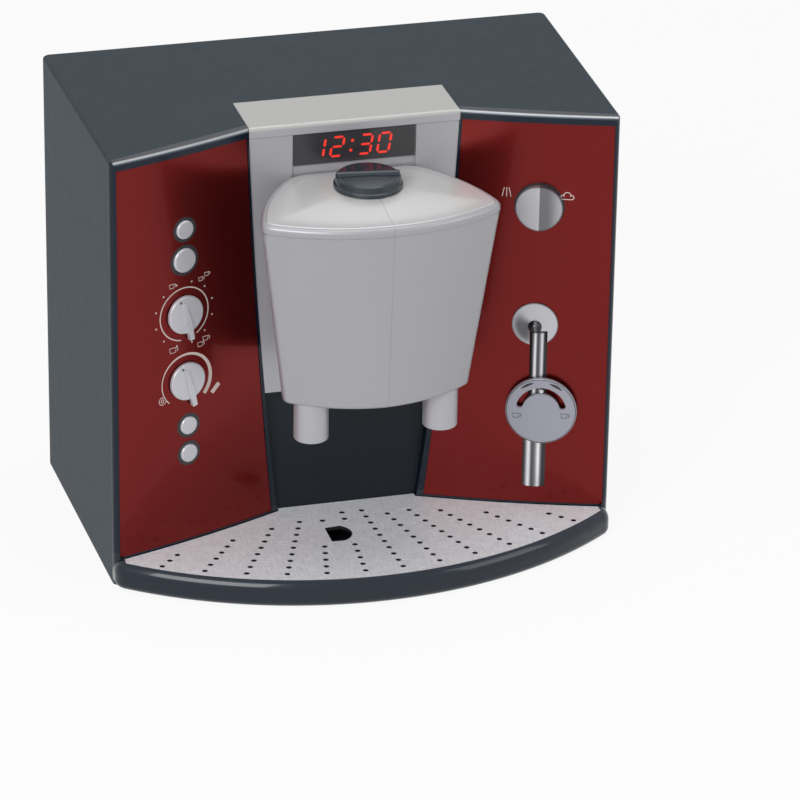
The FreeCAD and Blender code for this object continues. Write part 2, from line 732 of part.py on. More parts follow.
# The column's face leans back by this much for each millimetre down
face_lean = "(column_foot - column_face) / (lip_bottom - column_bottom)"
foot_back = "column_foot - (head_floor - column_bottom) * " + face_lean
part_back = "column_foot - (head_parting - column_bottom) * " + face_lean
outer_foot = head_outline("-31.6", "head_half_foot", "-16.6", "22", foot_back, ("outer_foot", "head_floor"))
outer_top = head_outline("-37.4", "head_half", "-22.4", "28.5", part_back, ("outer_top", "head_parting"))
head_solid = loft("head_solid", [outer_foot, outer_top])
corner_line = num("front_line")


def front_edge(edge):
    """True for an edge of the head's two front corners."""
    return abs(edge.BoundBox.XMin + edge.BoundBox.XMax) > 70 and edge.BoundBox.YMax < corner_line


head_turned = rounded("head_turned", head_solid, [
    (lambda e: spans(e, "z") > 50 and front_edge(e), "4"),
])
foot_level = num("head_floor")
head_body = rounded("head_body", head_turned, [
    (lambda e: level(e, foot_level) and e.BoundBox.YMin < num(behind("20")), "2"),
])
foot_inner = foot_back + " - head_skin"
part_inner = part_back + " - head_skin"
inner_foot = head_outline("-31.6 + 2.4", "head_half_foot - 2.8", "-16.6 + 0.8", "22 - 2", foot_inner,
                          ("inner_foot", "head_floor + head_skin"))
inner_top = head_outline("-37.4 + 2.4", "head_half - 2.8", "-22.4 + 0.8", "28.5 - 2", part_inner,
                         ("inner_top", "head_parting + 0.5"))
head_room = loft("head_room", [inner_foot, inner_top])
head_pilots = []
bosses = []
for i, (x, z) in enumerate(head_screw_places):
    bosses.append(rod("head_boss_%d" % i, x, behind("15.5"), z, "3", "9.5", BACKWARD))
    head_pilots.append(rod("head_pilot_%d" % i, x, behind("17"), z, "1.1", "16", BACKWARD))
spout_holes = []
for side in (-1, 1):
    x = "%d * spout_side" % side
    hole = rod("spout_hole_%d" % (side + 1), x, behind("-spout_out"), "head_floor - 2", "spout_radius", "11")
    spout_holes.append(hole)
head_hollow = cut("head_hollow", head_body, [head_room])
head_bossed = fuse("head_bossed", [head_hollow] + bosses)
head_shell = node(cut("head_shell", head_bossed, head_pilots + spout_holes), "head_shell")

# The head's top: crowned, with a rounded lip that stands a little proud
top_back = "column_foot - (head_crown - column_bottom) * %s - 0.02" % face_lean
top_plan = head_outline("-38.2", "head_half + 0.7", "-22.6", "29", top_back, ("top_plan", "head_parting"))
top_block = extrude("top_block", top_plan, "12")
top_turned = rounded("top_turned", top_block, [
    (lambda e: spans(e, "z") > 10 and abs(e.BoundBox.XMin) > 40, "4"),
])
crown = put(bind(doc.addObject("Part::Sphere", "crown"), Radius="crown_radius"),
            "0", behind("-7"), "head_crown - crown_radius")
top_crowned = common("top_crowned", top_turned, crown)
lip_low = num("head_parting + 1")
column_near = num(behind("20"))
top_soft = rounded("top_soft", top_crowned, [
    (lambda e: e.BoundBox.ZMin > lip_low and spans(e, "z") < 3 and e.BoundBox.YMin < column_near, "2"),
])
under_plan = head_outline("-37.4 + 2.4", "head_half - 2.8", "-22.4 + 0.8", "28.5 - 2", part_inner,
                          ("under_plan", "head_parting - 1"))
under = extrude("under", under_plan, "3")
neck = rod("neck", "0", behind("neck_back"), "head_parting - 3.5", "neck_radius", "13")
bore = rod("bore", "0", behind("neck_back"), "head_parting - 6", "neck_bore", "30")
top_thin = cut("top_thin", top_soft, [under])
top_necked = fuse("top_necked", [top_thin, neck])
head_top = node(cut("head_top", top_necked, [bore]), "head_top")

# Water tank inside the head
tank_floor = "99"
tank_top = "head_parting - 3.6"
tank_half = [
    ("0", behind("-28")),
    ("33", behind("-18.2")),
    ("33", behind("-4")),
    ("25", behind("13")),
]
tank_plan = sketch("tank_plan", both_sides(tank_half), at=("0", "0", tank_floor))
tank_block = extrude("tank_block", tank_plan, "(%s) - %s" % (tank_top, tank_floor))
room_half = [
    ("0", behind("-26.4")),
    ("31.5", behind("-17")),
    ("31.5", behind("-4.3")),
    ("23.9", behind("11.5")),
]
room_plan = sketch("room_plan", both_sides(room_half), at=("0", "0", tank_floor + " + 1.5"))
tank_room = extrude("tank_room", room_plan, "(%s) - %s" % (tank_top, tank_floor))
nozzles = []
drains = []
tank_nozzle_x = "spout_side - 1"
for side in (-1, 1):
    x = "%d * (%s)" % (side, tank_nozzle_x)
    nozzles.append(rod("nozzle_%d" % (side + 1), x, behind("-spout_out"), "91.5", "3.6", "8"))
    drains.append(rod("drain_%d" % (side + 1), x, behind("-spout_out"), "90", "1.6", "12"))
tank_full = fuse("tank_full", [tank_block] + nozzles)
tank_hollow = cut("tank_hollow", tank_full, [tank_room] + drains)
water_tank = node(tank_hollow, "water_tank")

# Spouts, and the soft rings between them and the tank
seals = []
for side, name in ((-1, "left_spout"), (1, "right_spout")):
    x = "%d * spout_side" % side
    tube = rod(name + "_tube", x, behind("-spout_out"), "spout_bottom", "spout_radius", "96 - spout_bottom")
    tube_bore = rod(name + "_bore", x, behind("-spout_out"), "spout_bottom - 1", "spout_radius - 1.4", "40")
    tube_open = cut(name + "_open", tube, [tube_bore])
    mouth = num("spout_bottom")
    node(rounded(name, tube_open, [(lambda e: level(e, mouth), "0.5")]), name)
    ring = rod(name + "_ring", x, behind("-spout_out"), "93", "spout_radius - 1.4", "2")
    through = "%d * (%s)" % (side, tank_nozzle_x)
    hole = rod(name + "_ring_hole", through, behind("-spout_out"), "92", "3.6", "4")
    seals.append(cut(name + "_seal", ring, [hole]))
spout_seals = doc.addObject("Part::Compound", "spout_seals")
spout_seals.Links = seals
node(spout_seals, "spout_seals")

# Filler cap: a cup over the neck, with a plug that carries the seal
cap_low = "head_crown + 0.25"
cap_profile = sketch("cap_profile", [
    ("0", "head_crown - 4"),
    ("9", "head_crown - 4"),
    ("9", "head_crown + 3.2"),
    ("neck_radius + 0.3", "head_crown + 3.2"),
    ("neck_radius + 0.3", cap_low),
    ("cap_radius", cap_low),
    ("cap_radius", "head_crown + 1.6"),
    ("cap_radius - 0.7", "head_crown + 2.0"),
    ("cap_radius - 0.9", "head_crown + 4.6"),
    ("cap_radius - 1.7", "head_crown + 5.2"),
    ("0", "head_crown + 5.5"),
], turn=FRONT)
cap_turned = doc.addObject("Part::Revolution", "cap_turned")
cap_turned.Source = cap_profile
cap_turned.Axis = Vector(0, 0, 1)
cap_turned.Base = Vector(0, 0, 0)
cap_turned.Angle = 360
cap_turned.Solid = True
bar_profile = sketch("bar_profile", [
    ("-1.9", "head_crown + 4.5"),
    ("1.9", "head_crown + 4.5"),
    ("1.2", "head_crown + 6.3", "1.6"),
    ("-1.2", "head_crown + 6.3"),
], turn=SIDE, at=("-cap_radius + 1.5", "0", "0"))
grip_bar = extrude("grip_bar", bar_profile, "2 * cap_radius - 3", (1, 0, 0))
filler_cap = fuse("filler_cap", [cap_turned, grip_bar])
cap_turn = num("-8")
filler_cap.Placement = Placement(Vector(0, num(behind("neck_back")), 0), Rotation(Vector(0, 0, 1), cap_turn))
node(filler_cap, "filler_cap")
seal_ring = rod("seal_ring", "0", behind("neck_back"), "head_crown - 2.5", "neck_bore - 0.08", "2")
seal_hole = rod("seal_hole", "0", behind("neck_back"), "head_crown - 3", "9", "4")
cap_seal = node(cut("cap_seal", seal_ring, [seal_hole]), "cap_seal")

# Drip grille
grille_plan = sketch("grille_plan", tray_outline("0", "grille_gap", "panel_sink + 0.3", "recess_face - 0.4"),
                     at=("0", "0", "grille_top - grille_thick"))
grille_blank = extrude("grille_blank", grille_plan, "grille_thick")
grille_tools = []
row_counts = [3, 6, 8, 9, 9, 10]
rows = 2 * len(row_counts)
focus = Vector(0, num("row_focus"), 0)
finger = Vector(-10.4, 3, 0)
for row in range(rows):
    angle = math.radians((row - (rows - 1) / 2) * num("row_angle"))
    way = Vector(math.sin(angle), -math.cos(angle), 0)
    # the row starts where its line from the focus meets the arc of the first holes
    drop = focus.y - num("hole_arc - hole_front")
    reach = drop * math.cos(angle) + math.sqrt(num("hole_arc") ** 2 - (drop * math.sin(angle)) ** 2)
    for step in range(row_counts[min(row, rows - 1 - row)]):
        spot = focus + way * (reach - step * num("hole_step"))
        if (spot - finger).Length > num("finger_room"):
            grille_tools.append((spot.x, spot.y))
drains = []
for i, (x, y) in enumerate(grille_tools):
    drain = rod("drain_hole_%d" % i, "%.3f" % x, behind("%.3f" % y), "grille_top - 5", "hole_radius", "8")
    drains.append(drain)
finger_plan = sketch("finger_plan", [
    ("-15.6", behind("-3.8")),
    ("-10.2", behind("-4.2"), "8.1"),
    ("-8.6", behind("10.2")),
    ("-15.6", behind("9.6")),
], at=("0", "0", "grille_top - 5"))
finger_hole = extrude("finger_hole", finger_plan, "8")
drip_grille = node(cut("drip_grille", grille_blank, drains + [finger_hole]), "drip_grille")

# Buttons
for name, (along, up, radius) in button_places.items():
    face = "face_out + button_out"
    cap = panel_rod(name + "_cap", -1, along, up, "-front_thick - 0.2", radius, "front_thick + 0.2 + " + face)
    doc.recompute()
    front = cap.Placement.multVec(Vector(0, 0, num("front_thick + 0.2 + " + face)))
    soft_cap = rounded(name + "_soft", cap, [
        (lambda e: abs((e.BoundBox.Center - front).Length) < 0.5, "0.7"),
    ])
    flange = panel_rod(name + "_flange", -1, along, up, "-front_thick - 1.3", "%s + 1.3" % radius, "1.2")
    stem = panel_rod(name + "_stem", -1, along, up, "-9", "1.5", "4")
    node(fuse(name, [soft_cap, flange, stem]), name)

# Board with the four key switches
board_out = "-13.5"
key_blank = panel_box("key_blank", -1, "36.6", "112", board_out, "14", "132", "1.6")
key_holes = [
    panel_rod("key_hole_low", -1, "36.6", "105", "-20", "1.35", "12"),
    panel_rod("key_hole_high", -1, "36.2", "172", "-20", "1.35", "12"),
]
key_board = node(cut("key_board", key_blank, key_holes), "key_board")
switches = []
for name, (along, up, radius) in button_places.items():
    switches.append(panel_box(name + "_switch", -1, along, up, "-11.9", "6", "6", "1.6"))
key_switches = doc.addObject("Part::Compound", "key_switches")
key_switches.Links = switches
node(key_switches, "key_switches")

# Turning controls: a body on a shaft, with a push-on ring behind the panel
turn_low = "face_out + control_gap"
shaft_end = "9"


def shaft(name, side, along, up, top):
    length = "%s + (%s)" % (shaft_end, top)
    return panel_rod(name + "_shaft", side, along, up, "-" + shaft_end, "shaft_radius", length)


def ring_clip(name, side, along, up):
    ring = panel_rod(name + "_ring", side, along, up, "-front_thick - 2.1", "4.6", "1.8")
    hole = panel_rod(name + "_ring_hole", side, along, up, "-front_thick - 3", "shaft_radius", "4")
    return node(cut(name, ring, [hole]), name)


def dial(name):
    """A round dial whose fin runs down into a pointer at its rim."""
    side, along, up = turning_places[name]
    disc = panel_rod(name + "_disc", side, along, up, turn_low, "dial_radius", "1.5")
    doc.recompute()
    top = disc.Placement.multVec(Vector(0, 0, 1.5))
    soft = rounded(name + "_soft", disc, [(lambda e: (e.BoundBox.Center - top).Length < 0.5, "0.5")])
    fin_sketch = sketch(name + "_fin", [
        ("-1.1", "-12"),
        ("1.1", "-12"),
        ("1.5", "-4"),
        ("0.6", "5.4", "0.65"),
        ("-0.6", "5.4"),
        ("-1.5", "-4"),
    ])
    on_panel(fin_sketch, side, along, up, turn_low + " + 0.4")
    doc.recompute()
    way = fin_sketch.Placement.Rotation.multVec(Vector(0, 0, 1))
    fin = extrude(name + "_ridge", fin_sketch, "2", tuple(way))
    whole = fuse(name + "_whole", [soft, fin, shaft(name, side, along, up, turn_low + " + 0.5")])
    return whole, way


def turned(thing, name, side, along, up, degrees, way):
    """Set a control to its rest angle about its own axis."""
    doc.recompute()
    centre = panel_rod(name + "_axis", side, along, up, "0", "1", "1")
    doc.recompute()
    point = centre.Placement.Base
    doc.removeObject(centre.Name)
    spin = Rotation(way, degrees)
    thing.Placement = Placement(point - spin.multVec(point), spin)
    return thing


pointer_rest = {"upper_dial": 12, "lower_dial": 14}
for name in ("upper_dial", "lower_dial"):
    side, along, up = turning_places[name]
    whole, way = dial(name)
    turned(whole, name, side, along, up, pointer_rest[name], way)
    node(whole, name)
    ring_clip(name + "_clip", side, along, up)

# Steam knob: its face rises to a ridge down the middle
side, along, up = turning_places["steam_knob"]
knob_sketch = sketch("knob_sketch", [
    ("-12", turn_low),
    ("12", turn_low),
    ("12", turn_low + " + 1.5"),
    ("0.6", turn_low + " + 2.9"),
    ("-0.6", turn_low + " + 2.9"),
    ("-12", turn_low + " + 1.5"),
])
knob_x = "case_half_front - (%s) * cos(panel_angle)" % along
knob_y = behind("(%s) * sin(panel_angle)" % along)
put(knob_sketch, knob_x, knob_y, "%s + 12" % up, TURN[1].multiply(Rotation(Vector(1, 0, 0), 90)))
roof = extrude("knob_roof", knob_sketch, "24", (0, 0, -1))
knob_disc = panel_rod("knob_disc", side, along, up, turn_low, "knob_radius", "4")
knob_head = common("knob_head", knob_disc, roof)
knob_shaft = shaft("steam_knob", side, along, up, turn_low + " + 0.5")
steam_knob = node(fuse("steam_knob", [knob_head, knob_shaft]), "steam_knob")
ring_clip("steam_knob_clip", side, along, up)

# Steam pipe with its ball, and the rosette round it
rosette_disc = panel_rod("rosette_disc", 1, rosette_place[0], rosette_place[1], "face_out - 0.6", "10", "1.2")
rosette_cone = doc.addObject("Part::Cone", "rosette_cone")
bind(rosette_cone, Radius1="10", Radius2="3.4", Height="0.5")
on_panel(rosette_cone, 1, rosette_place[0], rosette_place[1], "face_out + 0.6")
pipe_along = "32.9"
sleeve_along = "33.7"
pipe_top = "96.5"
sleeve_top = "58"


def half_round(name, along, low, top, half):
    """A low rounded strip up the right slope, like the front of a pipe."""
    radius = "((%s) ^ 2 + pipe_out ^ 2) / (2 * pipe_out)" % half
    sink = "(face_out + pipe_out - %s)" % radius
    x = "case_half_front - (%s) * cos(panel_angle) - %s * sin(panel_angle)" % (along, sink)
    y = "(%s) * sin(panel_angle) - %s * cos(panel_angle)" % (along, sink)
    tube = rod(name + "_tube", x, behind(y), low, radius, "%s - (%s)" % (top, low))
    middle = "(%s + (%s)) / 2" % (top, low)
    front = panel_box(name + "_front", 1, along, middle, "0", "12", "%s - (%s)" % (top, low), "6")
    return common(name, tube, front)


pipe_strip = half_round("pipe_strip", pipe_along, sleeve_top, pipe_top, "pipe_half")
sleeve_strip = half_round("sleeve_strip", sleeve_along, "pipe_end", sleeve_top, "sleeve_half")
ball = bind(doc.addObject("Part::Sphere", "ball"), Radius="3")
on_panel(ball, 1, rosette_place[0], "98.4", "face_out + 0.6")
ball_front = panel_box("ball_front", 1, rosette_place[0], "98.4", "0", "8", "8", "6")
pipe_ball = common("pipe_ball", ball, ball_front)
disc_place = turning_places["frother_disc"]
shaft_room = "shaft_radius + 0.3"
pipe_shaft_hole = panel_rod("pipe_shaft_hole", 1, disc_place[1], disc_place[2], "0", shaft_room, "8")
pipe_pin_hole = panel_rod("pipe_pin_hole", 1, pin_place[0], pin_place[1], "0", pin_hole_radius, "8")
pipe_joined = fuse("pipe_joined", [pipe_strip, sleeve_strip, pipe_ball])
steam_pipe = node(cut("steam_pipe", pipe_joined, [pipe_shaft_hole, pipe_pin_hole, right_blank]), "steam_pipe")
rosette_raw = fuse("rosette_raw", [rosette_disc, rosette_cone])
pipe_low = "(%s - 10)" % pipe_top
pipe_shadow = panel_box("pipe_shadow", 1, pipe_along, pipe_low, "0", "2 * pipe_half + 0.3", "20", "6")
ball_shadow = panel_rod("ball_shadow", 1, rosette_place[0], "98.4", "0", "3", "6")
pipe_rosette = node(cut("pipe_rosette", rosette_raw, [pipe_shadow, ball_shadow, right_blank]), "pipe_rosette")

# Frother disc: it turns over the pipe, round a fixed pin in its curved slot
side, along, up = turning_places["frother_disc"]
disc_low = "face_out + pipe_out + 0.3"
disc_blank = panel_rod("disc_blank", side, along, up, disc_low, "disc_radius", "1.5")
doc.recompute()
disc_front = disc_blank.Placement.multVec(Vector(0, 0, 1.5))
disc_rim = [(lambda e: (e.BoundBox.Center - disc_front).Length < 0.5, "0.5")]
disc_soft = rounded("disc_soft", disc_blank, disc_rim)
slot_out = "(slot_radius + slot_half)"
slot_in = "(slot_radius - slot_half)"
slot_sketch = sketch("slot_sketch", [
    (slot_out + " * cos(slot_end)", slot_out + " * sin(slot_end)", slot_out),
    ("-%s * cos(slot_end)" % slot_out, slot_out + " * sin(slot_end)", "slot_half + 0.001"),
    ("-%s * cos(slot_end)" % slot_in, slot_in + " * sin(slot_end)", "-" + slot_in),
    (slot_in + " * cos(slot_end)", slot_in + " * sin(slot_end)", "slot_half + 0.001"),
])
on_panel(slot_sketch, side, along, up, disc_low + " - 1")
doc.recompute()
right_out = TURN[1].multVec(Vector(0, 0, 1))
slot = extrude("slot", slot_sketch, "4", tuple(right_out))
disc_slotted = cut("disc_slotted", disc_soft, [slot])
disc_shaft = shaft("frother_disc", side, along, up, disc_low + " + 0.5")
frother_disc = node(fuse("frother_disc", [disc_slotted, disc_shaft]), "frother_disc")
ring_clip("frother_clip", side, along, up)
pin_length = "2 + %s + 1.9" % disc_low
pin_blank = panel_rod("pin_blank", 1, pin_place[0], pin_place[1], "-2", "pin_radius", pin_length)
frother_pin = node(pin_blank, "frother_pin")

# Main board
main_blank = box("main_blank", "-34", behind("56"), "wall + 5.5", "68", "46", "1.6")
main_parts = [
    box("sound_chip", "-8", behind("72"), "wall + 7", "16", "14", "3.6"),
    box("socket", "16", behind("64"), "wall + 7", "10", "6", "7"),
    rod("capacitor", "-20", behind("84"), "wall + 7", "3.2", "10"),
]
main_holes = []
for i, (x, y) in enumerate(board_spots):
    main_holes.append(rod("main_hole_%d" % i, x, behind(y), "wall + 4", "1.45", "8"))
main_full = fuse("main_full", [main_blank] + main_parts)
main_board = node(cut("main_board", main_full, main_holes), "main_board")

# Speaker behind the slots of the back cover
speaker_sketch = sketch("speaker_sketch", [
    ("0", "0"),
    ("20", "0"),
    ("20", "-2"),
    ("9", "-7"),
    ("9", "-11"),
    ("0", "-11"),
])
speaker = doc.addObject("Part::Revolution", "speaker")
speaker.Source = speaker_sketch
speaker.Axis = Vector(0, 1, 0)
speaker.Base = Vector(0, 0, 0)
speaker.Angle = 360
speaker.Solid = True
put(speaker, speaker_x, behind("case_depth - wall - 0.05"), speaker_z)
node(speaker, "speaker")

# Battery box behind the hatch, its contacts, and the hatch's door
box_back = "case_depth - wall - 0.05"
box_deep = "19"
box_outer = box("box_outer", "%s - 26" % hatch_x, behind(box_back + " - " + box_deep), "%s + 7" % hatch_low,
                "52", box_deep, "55.5")
box_room_y = behind(box_back + " - %s + 1.8" % box_deep)
box_inner = box("box_inner", "%s - 24" % hatch_x, box_room_y, "%s + 8.2" % hatch_low, "48", box_deep, "53")
battery_box = node(cut("battery_box", box_outer, [box_inner]), "battery_box")
contacts = []
for i in range(3):
    x = "%s - 20 + %g" % (hatch_x, i * 16)
    for end, z in (("low", "%s + 8.2" % hatch_low), ("high", "%s + 60.7" % hatch_low)):
        plate = box("contact_%s_%d" % (end, i), x, behind(box_back + " - 15"), z, "8", "10", "0.5")
        contacts.append(plate)
battery_contacts = doc.addObject("Part::Compound", "battery_contacts")
battery_contacts.Links = contacts
node(battery_contacts, "battery_contacts")
door_blank = box("door_blank", "%s - (%s) / 2 + 0.25" % (hatch_x, hatch_width), behind("case_depth - 1.55"),
                 "%s + 0.25" % hatch_low, "%s - 0.5" % hatch_width, "1.55", "%s - 0.5" % hatch_height)
door_screw_z = "%s + 3.5" % hatch_low
door_hole = rod("door_hole", hatch_x, behind("case_depth - 4"), door_screw_z, "1", "6", BACKWARD)
door_sink = rod("door_sink", hatch_x, behind("case_depth - 1.2"), door_screw_z, "2.4", "2", BACKWARD)
battery_door = node(cut("battery_door", door_blank, [door_hole, door_sink]), "battery_door")


# Screws
def screw(name, x, y, z, length, turn):
    """A pan-head screw whose head's outer face is at the point and whose shank runs along the turned Z."""
    head = rod(name + "_head", x, y, z, "2.4", "1.1", turn)
    shank = rod(name + "_shank", x, y, z, "1", length, turn)
    drive = rod(name + "_drive", x, y, z, "0.8", "0.7", turn)
    return cut(name, fuse(name + "_whole", [head, shank]), [drive])


def group(label, members):
    whole = doc.addObject("Part::Compound", label)
    whole.Links = members
    return node(whole, label)


FORWARD = Rotation(Vector(1, 0, 0), 90)
UPWARD = Rotation()
base_screws = []
cover_screws = []
for side in (-1, 1):
    for i, y in enumerate(base_screw_y):
        spot = "%d * (%s)" % (side, base_screw_x)
        name = "base_screw_%d%d" % (side + 1, i)
        base_screws.append(screw(name, spot, behind(y), "0.2", "10", UPWARD))
    for i, z in enumerate(cover_screw_z):
        spot = "%d * (%s)" % (side, cover_screw_x)
        name = "cover_screw_%d%d" % (side + 1, i)
        cover_screws.append(screw(name, spot, behind("case_depth - 0.2"), z, "12", FORWARD))
group("base_screws", base_screws)
group("cover_screws", cover_screws)
head_screws = []
for i, (x, z) in enumerate(head_screw_places):
    back = "column_foot + column_skin - (%s - column_bottom) * %s + 1.3" % (z, face_lean)
    head_screws.append(screw("head_screw_%d" % i, x, behind(back), z, "10", FORWARD))
group("head_screws", head_screws)
column_screws = []
for side in (-1, 1):
    for i, (along, up) in enumerate(column_screw_places):
        name = "column_screw_%d%d" % (side + 1, i)
        head = panel_rod(name + "_head", side, along, up, "-front_thick - 3.3", "2.2", "1.15")
        shank = panel_rod(name + "_shank", side, along, up, "-front_thick - 3.3", "1", "5")
        column_screws.append(fuse(name, [head, shank]))
group("column_screws", column_screws)
door_screw = screw("door_screw", hatch_x, behind("case_depth - 0.1"), door_screw_z, "4", FORWARD)
node(door_screw, "door_screw")

doc.recompute()

failed = [o.Name for o in doc.Objects if "Invalid" in o.State or "Error" in o.State]
if failed:
    raise SystemExit("objects that failed: %s" % ", ".join(failed))
for thing in nodes:
    if thing.Shape.isNull() or not thing.Shape.isValid():
        raise SystemExit("%s has no valid shape" % thing.Label)
    if not thing.Shape.Solids:
        raise SystemExit("%s has no solid" % thing.Label)

os.makedirs("parts", exist_ok=True)
for thing in nodes:
    thing.Shape.exportStep("parts/%s.step" % thing.Label)
    reach = thing.Shape.BoundBox
    print("%-20s %2d solid %9.1f mm3  x %6.1f..%6.1f  y %6.1f..%6.1f  z %6.1f..%6.1f" % (
        thing.Label, len(thing.Shape.Solids), thing.Shape.Volume,
        reach.XMin, reach.XMax, reach.YMin, reach.YMax, reach.ZMin, reach.ZMax))
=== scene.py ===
# %% [markdown]
# # A toy coffee maker
# The real toy is a dark moulded casing with a shallow V of glossy red panels, a silver brew head
# between them and a lens-shaped drip tray in front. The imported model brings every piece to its
# place, so this lesson is about what the camera sees: finishes, printed marks and light.

# %% Load the frame
import json
import math

import bmesh
import bpy
from mathutils import Matrix, Vector


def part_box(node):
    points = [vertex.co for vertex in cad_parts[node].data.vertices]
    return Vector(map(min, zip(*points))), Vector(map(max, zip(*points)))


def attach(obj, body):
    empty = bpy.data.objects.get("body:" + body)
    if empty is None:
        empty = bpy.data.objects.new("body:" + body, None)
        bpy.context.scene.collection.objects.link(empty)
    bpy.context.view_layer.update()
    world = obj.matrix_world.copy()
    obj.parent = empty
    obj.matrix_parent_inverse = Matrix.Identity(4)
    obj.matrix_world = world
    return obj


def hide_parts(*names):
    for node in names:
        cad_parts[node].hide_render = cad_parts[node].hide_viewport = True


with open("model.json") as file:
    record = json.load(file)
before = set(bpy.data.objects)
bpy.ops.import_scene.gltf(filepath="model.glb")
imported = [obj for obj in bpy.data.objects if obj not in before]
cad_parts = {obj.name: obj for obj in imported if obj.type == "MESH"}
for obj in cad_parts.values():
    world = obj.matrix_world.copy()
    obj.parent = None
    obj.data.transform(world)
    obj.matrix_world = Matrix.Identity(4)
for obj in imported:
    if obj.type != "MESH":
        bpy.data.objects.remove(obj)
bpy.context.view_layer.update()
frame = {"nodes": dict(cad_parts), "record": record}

nodes = frame["nodes"]

# %% [markdown]
# Blender makes a new object in two steps: one creates it from its data and one links it into the
# scene. A short function does both. A second one starts from a `bmesh`, which is a mesh still being
# built, and puts a finish on it as well.


# %% New objects
def shown(name, data):
    """An object made from its data and linked into the scene."""
    piece = bpy.data.objects.new(name, data)
    bpy.context.scene.collection.objects.link(piece)
    return piece


def built(name, shape, finish):
    """An object made from a bmesh, with one finish on it."""
    data = bpy.data.meshes.new(name)
    shape.to_mesh(data)
    shape.free()
    data.materials.append(finish)
    return shown(name, data)


print("object tools ready")

# %% [markdown]
# The camera stands a little to the left of the machine and looks down on it from about two metres
# off, which keeps the casing's edges nearly parallel. A long lens could also be copied from any
# product picture by eye, but a position and three directions worked out from the casing's corners
# put each edge on its line.

# %% Camera
eye = Vector((-0.505807, -1.906944, 1.006307))
to_right = Vector((0.96488563, -0.26227859, 0.01434082))
upward = Vector((0.10122884, 0.42167552, 0.90107851))
ahead = Vector((0.24238077, 0.867986, -0.43341881))
lens = bpy.data.cameras.new("product_lens")
lens.sensor_width = 36
lens.lens = 225
lens.clip_start = 0.1
lens.clip_end = 40
camera = shown("product_camera", lens)
facing = Matrix((to_right, upward, -ahead)).transposed()
camera.matrix_world = Matrix.Translation(eye) @ facing.to_4x4()
bpy.context.scene.camera = camera
bpy.context.scene.view_settings.view_transform = "Standard"
print("camera at", [round(v, 3) for v in eye])

# %% [markdown]
# A finish is a net of small nodes. Wiring each by hand hides the idea behind it, so one class wraps
# a socket and lets a formula be written as Python does it: every sign in the formula adds its own
# Math node. A second class holds the material and makes any other node in one call.


# %% Shader maths
class Wire:
    """One output of a shader node, written in formulas like a number."""

    def __init__(self, finish, socket):
        self.finish = finish
        self.socket = socket

    def maths(self, operation, *terms):
        return self.finish.node("ShaderNodeMath", {"operation": operation}, dict(enumerate(terms)))

    def __add__(self, other):
        return self.maths("ADD", self, other)

    def __radd__(self, other):
        return self.maths("ADD", other, self)

    def __sub__(self, other):
        return self.maths("SUBTRACT", self, other)

    def __rsub__(self, other):
        return self.maths("SUBTRACT", other, self)

    def __mul__(self, other):
        return self.maths("MULTIPLY", self, other)

    def __rmul__(self, other):
        return self.maths("MULTIPLY", other, self)

    def __truediv__(self, other):
        return self.maths("DIVIDE", self, other)

    def __pow__(self, other):
        return self.maths("POWER", self, other)

    def __abs__(self):
        return self.maths("ABSOLUTE", self)

    def soft_step(self, low, high):
        """0 below low, 1 above high and a soft rise between them."""
        settings = {"interpolation_type": "SMOOTHSTEP"}
        values = {0: self, 1: low, 2: high, 3: 0.0, 4: 1.0}
        return self.finish.node("ShaderNodeMapRange", settings, values)


class Finish:
    """A material whose shader takes numbers, colours and wires by the names of its sockets."""

    def __init__(self, name):
        self.material = bpy.data.materials.new(name)
        self.material.use_nodes = True
        self.tree = self.material.node_tree
        self.skin = self.tree.nodes["Principled BSDF"]

    def feed(self, target, key, value):
        socket = target.inputs[key]
        if isinstance(value, Wire):
            self.tree.links.new(value.socket, socket)
        elif isinstance(value, tuple) and socket.type == "RGBA":
            socket.default_value = (*value, 1.0)[:4]
        else:
            socket.default_value = value

    def node(self, kind, settings=None, values=None, out=0):
        """Any other node; settings are its own fields and values go to its sockets."""
        made = self.tree.nodes.new(kind)
        for name, value in (settings or {}).items():
            if name == "stops":
                ramp = made.color_ramp.elements
                while len(ramp) < len(value):
                    ramp.new(0.5)
                for stop, (place, colour) in zip(ramp, value):
                    stop.position = place
                    stop.color = (*colour, 1.0)
            else:
                setattr(made, name, value)
        for key, value in (values or {}).items():
            self.feed(made, key, value)
        return Wire(self, made.outputs[out])

    def place(self):
        """The point on the piece, in metres, in the piece's own frame."""
        return self.node("ShaderNodeTexCoord", out="Object")

    def axes(self):
        """The point's distances to the right, to the back and upwards, as three wires."""
        split = self.tree.nodes.new("ShaderNodeSeparateXYZ")
        self.feed(split, 0, self.place())
        return [Wire(self, output) for output in split.outputs]

    def height(self):
        """How high the point lies over the base, in metres."""
        return self.axes()[2]

    def noise(self, scale, detail=2.0, roughness=0.5, stretch=None):
        """Soft random tone from 0 to 1; scale is in blotches per metre."""
        point = self.place()
        if stretch:
            settings = {"operation": "MULTIPLY"}
            point = self.node("ShaderNodeVectorMath", settings, {0: point, 1: stretch})
        values = {"Vector": point, "Scale": scale, "Detail": detail, "Roughness": roughness}
        return self.node("ShaderNodeTexNoise", None, values)

    def mix(self, share, first, second):
        """First colour where share is 0, second where it is 1."""
        settings = {"data_type": "RGBA"}
        return self.node("ShaderNodeMix", settings, {0: share, 6: first, 7: second}, out=2)

    def bump(self, height, strength, distance):
        """A bent normal from a height; distance is the height's full size in metres."""
        values = {"Strength": strength, "Distance": distance, "Height": height}
        return self.node("ShaderNodeBump", None, values)

    def surface(self, **values):
        """The finished material; a socket's name is written with underscores for its spaces."""
        for name, value in values.items():
            self.feed(self.skin, name.replace("_", " "), value)
        return self.material


print("shader classes ready")

